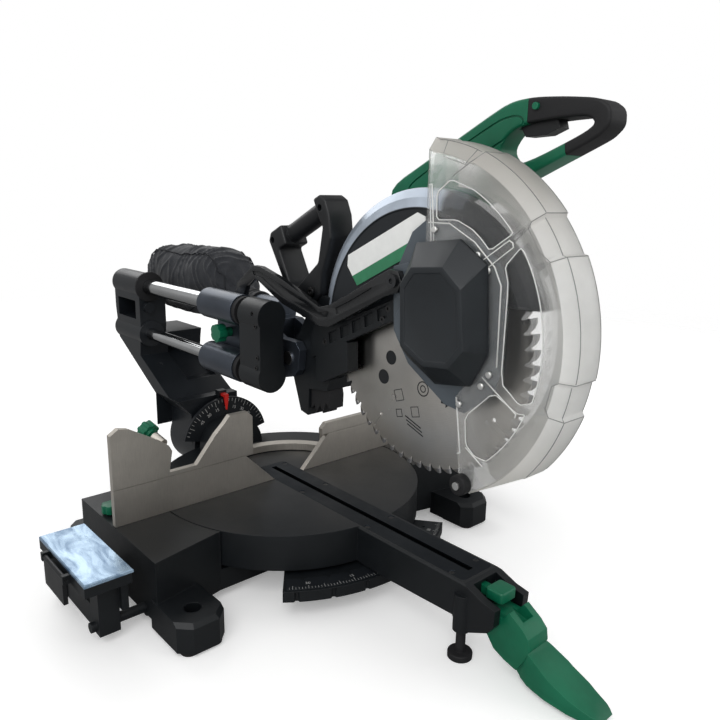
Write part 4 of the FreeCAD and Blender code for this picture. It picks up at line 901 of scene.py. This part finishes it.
# Carrying handle on top of the head as (y, z): its ends and foot, the round bar and the screws
CARRY = [(-9.8, 457.3), (1, 452), (14, 446), (18, 434), (-14, 385), (-26, 358), (-46, 345), (-60, 338.1),
         (-94, 372.1), (-98, 402), (-116, 446), (-112, 474), (-104, 492), (-92, 498), (-79.7, 491.9),
         (-93.6, 464.6), (-99, 460), (-90, 414), (-46, 378), (-30, 382), (-6, 425), (-22.1, 432.3)]
CARRY_BAR = ((-15.7, 445.4), (-85.6, 480.0))
CARRY_SCREWS = ((-94, 482), (8, 436))
CARRY_BOLT = (-80, 376)
BAR_RADIUS = 13.1


class SAW_OT_carrying_handle(Operator):
    """Mould the carrying handle: two solid ends, a round bar, its seams and screw recesses"""

    bl_idname = "saw.carrying_handle"
    bl_label = "Carrying handle"

    def execute(self, context):
        body = plate("Carrying_handle", CARRY, -19.5, 19.5)
        soften(body, 3.0, 3, 30.0, 35.0)
        first, last = (Vector(p) for p in CARRY_BAR)
        line = (last - first).normalized()
        for centre in CARRY_SCREWS:
            carve(body, disc("Screw_recess", centre, 4.2, -30.0, -10.0))
            carve(body, disc("Screw_recess", centre, 4.2, 10.0, 30.0))
        carve(body, disc("Bolt_hole", CARRY_BOLT, 3.2, -30.0, 30.0))
        bar = self.rod("Carry_bar", first - line * 5, last + line * 5, 6, BAR_RADIUS)
        seams = [self.rod("Bar_seam", centre - line * 1.2, centre + line * 1.2, 1, BAR_RADIUS + 0.35)
                 for centre in (first + line * 2.2, last - line * 2.2)]
        join(body, bar, *seams)
        bpy.ops.object.shade_smooth_by_angle(angle=math.radians(35.0))
        paint(body, "moulding")
        fit(body, "head", "black_plastic", "transport_handle")
        return {"FINISHED"}

    def rod(self, name, start, end, steps, radius):
        places = [start.lerp(end, i / steps) for i in range(steps + 1)]
        return bead(name, [(0.0, p.x, p.y) for p in places], radius, False, 10)


# Dust bag, station by station along the rails: y, foot, top, half width, squareness
BAG_MIDDLE = 30.0
BAG_STATIONS = [
    (133.0, 300.8, 349.2, 24.2, 2.0), (141.0, 300.6, 349.4, 24.4, 2.0), (149.0, 301.0, 350.0, 24.6, 2.0),
    (156.0, 306.0, 357.0, 29.0, 2.1), (166.0, 313.0, 374.0, 35.0, 2.3), (180.0, 319.0, 391.0, 40.0, 2.6),
    (198.0, 321.0, 404.0, 42.5, 2.9), (220.0, 321.0, 407.0, 43.5, 3.0), (240.0, 316.0, 406.0, 44.0, 3.1),
    (260.0, 300.0, 405.5, 44.0, 3.1), (282.0, 288.0, 405.0, 44.0, 3.1), (315.0, 287.0, 404.5, 44.0, 3.1),
    (350.0, 287.5, 404.5, 44.0, 3.1), (378.0, 289.0, 404.0, 44.0, 3.0), (402.0, 301.0, 402.0, 43.0, 2.9),
    (420.0, 313.0, 392.0, 41.0, 2.7), (434.0, 326.0, 380.0, 35.0, 2.5), (441.0, 338.0, 368.0, 24.0, 2.2),
]

# Places along the rails: the cloth is pinned as far as the first and folded from the second on
NECK_PINNED, NECK_END = 152.0, 153.0
BAG_ROUND = 56
CLOTH_CELL = 5.0
CLOTH_FRAMES = 20
CLOTH_REACH = 7.0

# The welted edge of a side panel as (y, z), and where the zip runs
BAG_SEAM = [(158, 345), (166, 372), (182, 392), (204, 405), (240, 407), (290, 406), (340, 406),
            (395, 404), (420, 394), (440, 372), (436, 330), (410, 300), (378, 287), (330, 286),
            (282, 287), (258, 302), (236, 320), (200, 321), (172, 318)]
ZIP_BEHIND, ZIP_FOOT, ZIP_STEP = 452.0, 330.0, 4.0
ZIP_PLACES, ZIP_TEETH = 13, 34

# The collar as (y, radius), out and back in, and the height of its axis
BAG_COLLAR = [(112.2, 21.3), (112.2, 24.6), (115, 24.9), (117, 24.9), (118, 23.9), (122, 23.9),
              (123, 24.9), (125, 24.9), (126, 23.9), (130, 23.9), (131, 25.6), (134, 26.2),
              (137, 25.2), (140, 26.2), (143, 25.2), (146, 26.2), (149, 25.4), (150, 24.0), (150, 21.3)]
PORT_HEIGHT = 325.0


class SAW_OT_dust_bag(Operator):
    """Sew the dust bag: a sagging cloth shell, gathers, seams, a zip and its collar"""

    bl_idname = "saw.dust_bag"
    bl_label = "Dust bag"

    def execute(self, context):
        bag = self.shell()
        self.puff(bag)
        self.gather(bag)
        trims = [self.seam(bag, side) for side in (-1.0, 1.0)]
        trims += self.zip(bag)
        paint(bag, "bag")
        choose(bag)
        bpy.ops.object.shade_smooth()
        fit(bag, "carriage", "bag_fabric", "dust_bag")
        for trim in trims:
            fit(trim, "carriage", "bag_fabric")
        fit(self.collar(), "carriage", "black_plastic")
        return {"FINISHED"}

    def shell(self):
        deselect()
        last = len(BAG_STATIONS) - 1
        bpy.ops.mesh.primitive_grid_add(x_subdivisions=BAG_ROUND, y_subdivisions=last, size=2.0)
        bag = bpy.context.object
        bag.name = "Dust_bag"
        for vertex in bag.data.vertices:
            turn = math.pi * (vertex.co.x + 1.0)
            y, foot, top, half, square = BAG_STATIONS[round((vertex.co.y + 1.0) / 2.0 * last)]
            power = 2.0 / square
            across = math.copysign(abs(math.cos(turn)) ** power, math.cos(turn))
            above = math.copysign(abs(math.sin(turn)) ** power, math.sin(turn))
            height = (foot + top) / 2 + (top - foot) / 2 * above
            vertex.co = ((BAG_MIDDLE + half * across) * MM, y * MM, height * MM)
        edit(bag)
        bpy.ops.mesh.remove_doubles(threshold=0.00001)
        bpy.ops.mesh.fill_holes(sides=0)
        bpy.ops.mesh.select_all(action="SELECT")
        bpy.ops.mesh.normals_make_consistent(inside=False)
        bpy.ops.object.mode_set(mode="OBJECT")
        return bag

    def puff(self, bag):
        """Blow the cloth up and let it settle, holding its neck."""
        modify(bag, "REMESH", mode="VOXEL", voxel_size=CLOTH_CELL * MM)
        before = [v.co.copy() for v in bag.data.vertices]
        neck = bag.vertex_groups.new(name="Neck")
        pinned = [v.index for v in bag.data.vertices if v.co.y < NECK_PINNED * MM]
        neck.add(pinned, 1.0, "REPLACE")
        choose(bag)
        bpy.ops.object.modifier_add(type="CLOTH")
        cloth = bag.modifiers[-1]
        for name, value in (("quality", 6), ("use_pressure", True), ("uniform_pressure_force", 3.5),
                            ("vertex_group_mass", "Neck"), ("tension_stiffness", 12.0),
                            ("compression_stiffness", 12.0), ("bending_stiffness", 0.3)):
            setattr(cloth.settings, name, value)
        cloth.settings.effector_weights.gravity = 0.0
        for number in range(1, CLOTH_FRAMES + 1):
            bpy.context.scene.frame_set(number)
        bpy.ops.object.modifier_apply(modifier=cloth.name)
        bpy.context.scene.frame_set(1)
        bag.vertex_groups.clear()
        most = CLOTH_REACH * MM
        for vertex, start in zip(bag.data.vertices, before):
            move = vertex.co - start
            if move.length > most:
                vertex.co = start + move * (most / move.length)
        modify(bag, "SUBSURF", levels=1, render_levels=1)

    def gather(self, bag):
        """Slack folds that fall from the top seam, gathers at the neck and a soft foot."""
        outward = [vertex.normal.copy() for vertex in bag.data.vertices]
        for vertex, normal in zip(bag.data.vertices, outward):
            place = vertex.co / MM
            if place.y < NECK_END:
                continue
            high = min(1.0, max(0.0, (place.z - 325.0) / 70.0))
            neck = max(0.0, 1.0 - abs(place.y - 164.0) / 26.0)
            turn = math.atan2(place.z - 328.0, place.x - BAG_MIDDLE)
            drift = self.waver(place, 0.010, 0.012, 0.014)
            crease = self.waver(place, 0.012, 0.055, 0.011, along=1.7 * drift)
            fold = 1.0 - min(1.0, abs(crease) * 5.0)
            wide = self.waver(place, 0.016, 0.018, 0.016, above=7.0)
            fine = self.waver(place, 0.05, 0.09, 0.04, above=3.0)
            shift = (0.9 + 2.6 * high) * fold ** 1.5 + 3.2 * wide + 0.9 * fine
            shift += 1.5 * neck * math.sin(turn * 13.0)
            vertex.co += normal * (shift - 2.2) * MM

    def waver(self, place, *scale, along=0.0, above=0.0):
        """Smooth noise over the cloth, stretched by a scale for each axis and shifted along two."""
        x, y, z = (a * b for a, b in zip(place, scale))
        return noise.noise(Vector((x, y + along, z + above)))

    def seam(self, bag, side):
        """A stitched welt along the edge between a side panel and the gusset."""
        line = [self.on_cloth(bag, BAG_MIDDLE + side * 40.0, y, z, 0.4) for y, z in eased(BAG_SEAM, 2, 0.25)]
        welt = bead("Bag_seam_" + ("left" if side < 0 else "right"), line, 1.1)
        paint(welt, "bag_trim")
        return welt

    def on_cloth(self, bag, x, y, z, proud):
        """The place on the cloth nearest to x, y, z, a little proud of it, all in millimetres."""
        hit, place, normal, face = bag.closest_point_on_mesh(Vector((x, y, z)) * MM)
        return (place + normal * proud * MM) / MM

    def zip(self, bag):
        """A zip down the bag's rear end, with a tape, teeth and a pull."""
        tape = [self.on_cloth(bag, BAG_MIDDLE, ZIP_BEHIND, ZIP_FOOT + ZIP_STEP * i, 0.3)
                for i in range(ZIP_PLACES)]
        band = bead("Bag_zip", tape, 1.6, False)
        paint(band, "bag_trim")
        tooth = disc("Zip_tooth", (0.0, 0.0), 0.9, -2.2, 2.2, "x", 6)
        paint(tooth, "bag_trim")
        teeth = []
        for i in range(ZIP_TEETH):
            share = i / (ZIP_TEETH - 1) * (len(tape) - 1)
            low = min(int(share), len(tape) - 2)
            place = tape[low].lerp(tape[low + 1], share - low) + Vector((0.0, 1.2, 0.0))
            teeth.append(copied(tooth, Matrix.Translation(place * MM)))
        drop(tooth)
        join(band, *teeth)
        y, z = tape[-1].yz
        tab = [(y + 1.5, z + 1), (y + 3.4, z + 1), (y + 4.4, z - 15), (y + 2.4, z - 15)]
        pull = plate("Bag_zip_pull", tab, BAG_MIDDLE - 3.0, BAG_MIDDLE + 3.0)
        soften(pull, 0.5)
        paint(pull, "moulding")
        return [band, pull]

    def collar(self):
        """The ribbed plastic collar and band that hold the bag on the dust port."""
        collar = turned("Bag_collar", BAG_COLLAR, (BAG_MIDDLE, PORT_HEIGHT), "y", 56)
        soften(collar, 0.3, 1)
        paint(collar, "moulding")
        return collar


# Blade: a carbide tip as (turns of one pitch, depth from the rim), and the plain marks on its left
# face as (y, z), with the size and, for the squares, the turn in degrees
TEETH = 60
BLADE_RADIUS = 152.5
BLADE_FACE = -1.1
TIP = [(-0.05, 0.0), (0.20, -0.9), (0.20, -5.4), (-0.05, -5.4)]
DOTS = [((-209.5, 310.8), 8.6), ((-197.7, 285.0), 9.0)]
RINGS = [((-262.9, 284.0), 9.0, 7.6), ((-262.9, 284.0), 4.4, 3.2)]
SQUARES = [((-224.6, 267.9), 10.0, 25.0), ((-251.8, 253.6), 9.0, 30.0), ((-226.0, 246.0), 7.0, 30.0)]
ARROW = [(-291, 282), (-298, 282), (-298, 286), (-307, 278), (-298, 270), (-298, 274), (-291, 274)]
STROKES = [(-236, 246.0), (-238, 241.5), (-240, 237.0)]


class SAW_OT_blade_detail(Operator):
    """Braze the carbide tips on the teeth and print plain marks on the blade's face"""

    bl_idname = "saw.blade_detail"
    bl_label = "Blade tips and marks"

    def execute(self, context):
        self.tips()
        self.marks()
        return {"FINISHED"}

    def tips(self):
        pitch = 360.0 / TEETH
        outline = [arc(ARBOR, BLADE_RADIUS + depth, turn * pitch, turn * pitch, 1)[0] for turn, depth in TIP]
        tip = plate("Blade_tips", outline, -1.55, 1.55)
        soften(tip, 0.15, 1)
        join(tip, *[copied(tip, about(ARBOR, pitch * i)) for i in range(1, TEETH)])
        paint(tip, "carbide")
        fit(tip, "blade", "blade_steel")

    def mark(self, outline, hole=None):
        """A mark as thin as print on the blade's face, with a hole in it where one is given."""
        mark = plate("Mark", outline, BLADE_FACE - 0.12, BLADE_FACE + 0.02)
        if hole:
            carve(mark, plate("Mark_hole", hole, -3.0, 3.0))
        return mark

    def marks(self):
        marks = [self.mark(self.circle(centre, size)) for centre, size in DOTS]
        marks += [self.mark(self.circle(centre, outer), self.circle(centre, inner))
                  for centre, outer, inner in RINGS]
        for centre, half, turn in SQUARES:
            corners = arc(centre, half, turn, turn + 270.0, 3)
            marks.append(self.mark(corners, inset(corners, 0.9)))
        marks.append(self.mark(ARROW))
        for y, z in STROKES:
            marks.append(self.mark([(y, z), (y - 26, z - 9), (y - 26, z - 10.6), (y, z - 1.6)]))
        sheet = join(*marks)
        sheet.name = "Blade_marks"
        paint(sheet, "ink")
        fit(sheet, "blade", "blade_steel")

    def circle(self, centre, radius):
        return arc(centre, radius, 0.0, 360.0, 36)[:-1]


# Scales: the printed face, and where the ticks and the numbers stand along their radius
MITRE_FACE, MITRE_TICKS, MITRE_NUMBERS = 41.4, -226.0, -214.0
BEVEL_FACE, BEVEL_TICKS, BEVEL_NUMBERS = 176.05, 76.0, 61.0


class SAW_OT_scales(Operator):
    """Print the mitre scale and the bevel scale: ticks and plain numbers"""

    bl_idname = "saw.scales"
    bl_label = "Scales"

    def execute(self, context):
        self.mitre_scale()
        self.bevel_scale()
        return {"FINISHED"}

    def number(self, angle, height, place):
        deselect()
        bpy.ops.object.text_add()
        digits = bpy.context.object
        digits.data.body = str(abs(angle))
        digits.data.size = height * MM
        digits.data.align_x = "CENTER"
        digits.data.align_y = "CENTER"
        digits.data.extrude = 0.05 * MM
        bpy.ops.object.convert(target="MESH")
        digits = bpy.context.object
        digits.data.transform(place)
        return digits

    def ticks(self, outline, low, high, across, lengths, angles, every, axis):
        """Short and long ticks turned about an axis; every so many degrees there is a long one."""
        short, long = (plate("Tick", outline(length), low, high, across) for length in lengths)
        marks = [copied(short if angle % every else long, about(axis, angle, across)) for angle in angles]
        drop(short)
        drop(long)
        return marks

    def print_scale(self, name, marks, body):
        marks[0].name = name
        scale = join(*marks)
        paint(scale, "print")
        fit(scale, body, "scale_plate")

    def mitre_scale(self):
        def outline(length):
            foot, head = MITRE_TICKS, MITRE_TICKS + length
            return [(-0.25, foot), (0.25, foot), (0.25, head), (-0.25, head)]

        marks = self.ticks(outline, MITRE_FACE, MITRE_FACE + 0.12, "z", (4.0, 7.0), range(-36, 37), 5,
                           MITRE_AXIS)
        stand = Matrix.Translation(Vector((0.0, MITRE_NUMBERS, MITRE_FACE + 0.05)) * MM)
        for angle in range(-30, 31, 15):
            marks.append(self.number(angle, 6.5, about(MITRE_AXIS, angle, "z") @ stand))
        self.print_scale("Mitre_scale_marks", marks, "base")

    def bevel_scale(self):
        def outline(length):
            top = BEVEL_AXIS[1] + BEVEL_TICKS
            return [(-0.35, top), (0.35, top), (0.35, top - length), (-0.35, top - length)]

        marks = self.ticks(outline, BEVEL_FACE - 0.12, BEVEL_FACE, "y", (5.0, 9.0), range(-70, 71, 5), 15,
                           BEVEL_AXIS)
        height = BEVEL_AXIS[1] + BEVEL_NUMBERS
        stand = Matrix.Translation(Vector((0.0, BEVEL_FACE - 0.05, height)) * MM)
        stand = stand @ Matrix.Rotation(math.radians(90.0), 4, "X")
        for angle in range(-45, 46, 15):
            marks.append(self.number(angle, 7.5, about(BEVEL_AXIS, angle, "y") @ stand))
        self.print_scale("Bevel_scale_marks", marks, "turntable")


# The camera, fitted to the photo: its place (millimetres), yaw, pitch and roll (degrees) and its
# focal length in pixels of the picture
CAMERA_PLACE = (-570.1, -789.2, 504.2)
CAMERA_TURN = (41.849, 13.652, 1.066)
FOCAL_PIXELS = 700.3
PICTURE_SIDE = 720.0
SENSOR = 36.0

# Lamps: name, place and side (metres) and power (watts); all look at the middle of the saw
LAMPS = [("Key light", (-1.9, -1.5, 2.3), 1.8, 34.0), ("Fill light", (1.9, -1.9, 1.5), 2.2, 16.0),
         ("Back light", (0.4, 2.4, 2.0), 1.8, 22.0)]
LAMP_AIM = (0.0, -0.05, 0.25)
WINDOW_SIDE = (-0.72, -0.30, 0.62)


class SAW_OT_stage(Operator):
    """Add the pale floor, the soft studio light and the camera"""

    bl_idname = "saw.stage"
    bl_label = "Stage"

    def execute(self, context):
        self.floor()
        self.world()
        for lamp in LAMPS:
            self.lamp(*lamp)
        self.camera()
        context.scene.view_settings.view_transform = "Standard"
        return {"FINISHED"}

    def floor(self):
        deselect()
        bpy.ops.mesh.primitive_circle_add(vertices=96, radius=sizes().floor, fill_type="NGON")
        floor = bpy.context.object
        floor.name = "Pale_floor"
        floor.location = (0.0, 0.0, -0.0004)
        finish = Finish("floor_pale", Roughness=0.9)
        grain = finish.noise(6.0, 3.0)
        pale = finish.mix(grain, (0.93, 0.93, 0.93, 1.0), (0.96, 0.96, 0.955, 1.0))
        rays = finish.add("ShaderNodeLightPath").outputs
        finish.set("Base Color", finish.mix(rays["Is Glossy Ray"], pale, (0.34, 0.34, 0.34, 1.0)))
        finish.set("Emission Color", (1.0, 1.0, 1.0, 1.0))
        finish.set("Emission Strength", finish.sum("MULTIPLY", rays["Is Camera Ray"], 0.27))
        away = finish.vector("LENGTH", finish.place, out=1)
        fade = finish.spread(away, 1.1, 2.6)
        blend = finish.add("ShaderNodeMixShader")
        finish.feed(blend.inputs[0], fade)
        finish.feed(blend.inputs[1], finish.surface.outputs[0])
        finish.feed(blend.inputs[2], finish.add("ShaderNodeBsdfTransparent").outputs[0])
        finish.feed(finish.output.inputs[0], blend.outputs[0])
        floor.data.materials.append(finish.material)

    def world(self):
        """White to the camera and through clear plastic; softer light with one bright side elsewhere."""
        world = bpy.data.worlds.new("Studio")
        bpy.context.scene.world = world
        world.use_nodes = True
        tree = world.node_tree
        tree.nodes.clear()
        rays = tree.nodes.new("ShaderNodeLightPath").outputs
        seen = self.wire(tree, "MAXIMUM", rays["Is Camera Ray"], rays["Is Transmission Ray"])
        window = tree.nodes.new("ShaderNodeVectorMath")
        window.operation = "DOT_PRODUCT"
        tree.links.new(tree.nodes.new("ShaderNodeTexCoord").outputs["Generated"], window.inputs[0])
        window.inputs[1].default_value = Vector(WINDOW_SIDE).normalized()
        gleam = tree.nodes.new("ShaderNodeMapRange")
        tree.links.new(window.outputs["Value"], gleam.inputs[0])
        for socket, value in zip(gleam.inputs[1:5], (0.10, 0.95, 0.34, 1.35)):
            socket.default_value = value
        shone = self.wire(tree, "MULTIPLY", gleam.outputs[0], rays["Is Glossy Ray"])
        plain = self.wire(tree, "SUBTRACT", 1.0, rays["Is Glossy Ray"])
        studio = self.wire(tree, "ADD", shone, self.wire(tree, "MULTIPLY", plain, 0.55))
        light = tree.nodes.new("ShaderNodeBackground")
        tree.links.new(self.wire(tree, "MAXIMUM", studio, seen), light.inputs["Strength"])
        light.inputs["Color"].default_value = (1.0, 1.0, 1.0, 1.0)
        output = tree.nodes.new("ShaderNodeOutputWorld")
        tree.links.new(light.outputs[0], output.inputs[0])

    def wire(self, tree, operation, a, b):
        """One arithmetic node, fed by sockets or numbers."""
        node = tree.nodes.new("ShaderNodeMath")
        node.operation = operation
        for socket, value in zip(node.inputs, (a, b)):
            if isinstance(value, bpy.types.NodeSocket):
                tree.links.new(value, socket)
            else:
                socket.default_value = value
        return node.outputs[0]

    def lamp(self, name, place, size, power):
        data = bpy.data.lights.new(name, "AREA")
        data.size = size
        data.energy = power
        lamp = bpy.data.objects.new(name, data)
        bpy.context.scene.collection.objects.link(lamp)
        lamp.location = place
        aim = Vector(LAMP_AIM) - Vector(place)
        lamp.rotation_euler = aim.to_track_quat("-Z", "Y").to_euler()

    def camera(self):
        yaw, pitch, roll = (math.radians(a) for a in CAMERA_TURN)
        ahead = Vector((math.sin(yaw) * math.cos(pitch), math.cos(yaw) * math.cos(pitch),
                        -math.sin(pitch)))
        level = Vector((math.cos(yaw), -math.sin(yaw), 0.0))
        above = level.cross(ahead)
        right = level * math.cos(roll) + above * math.sin(roll)
        up = above * math.cos(roll) - level * math.sin(roll)
        data = bpy.data.cameras.new("Camera")
        data.sensor_width = SENSOR
        data.lens = FOCAL_PIXELS / PICTURE_SIDE * SENSOR
        data.clip_start = 0.05
        data.clip_end = 30.0
        camera = bpy.data.objects.new("Camera", data)
        bpy.context.scene.collection.objects.link(camera)
        place = Matrix((right, up, -ahead)).transposed().to_4x4()
        place.translation = Vector(CAMERA_PLACE) * MM
        camera.matrix_world = place
        bpy.context.scene.camera = camera


class SAW_PT_looks(Panel):
    bl_label = "Mitre saw"
    bl_idname = "SAW_PT_looks"
    bl_space_type = "VIEW_3D"
    bl_region_type = "UI"
    bl_category = "Mitre saw"

    def draw(self, context):
        for operator in OPERATORS:
            self.layout.operator(operator.bl_idname)
        for group in (context.scene.saw_colours, context.scene.saw_sizes):
            for name in group.bl_rna.properties.keys():
                if name not in ("name", "rna_type"):
                    self.layout.prop(group, name)


OPERATORS = [SAW_OT_finish_frame, SAW_OT_clear_guard, SAW_OT_knobs, SAW_OT_operating_handle,
             SAW_OT_carrying_handle, SAW_OT_dust_bag, SAW_OT_blade_detail, SAW_OT_scales, SAW_OT_stage]
CLASSES = [SawColours, SawSizes, *OPERATORS, SAW_PT_looks]


def register():
    for kind in CLASSES:
        bpy.utils.register_class(kind)
    bpy.types.Scene.saw_colours = PointerProperty(type=SawColours)
    bpy.types.Scene.saw_sizes = PointerProperty(type=SawSizes)


def unregister():
    del bpy.types.Scene.saw_colours
    del bpy.types.Scene.saw_sizes
    for kind in reversed(CLASSES):
        bpy.utils.unregister_class(kind)


def main():
    register()
    for operator in OPERATORS:
        group, name = operator.bl_idname.split(".")
        getattr(getattr(bpy.ops, group), name)()


if __name__ == "__main__":
    main()
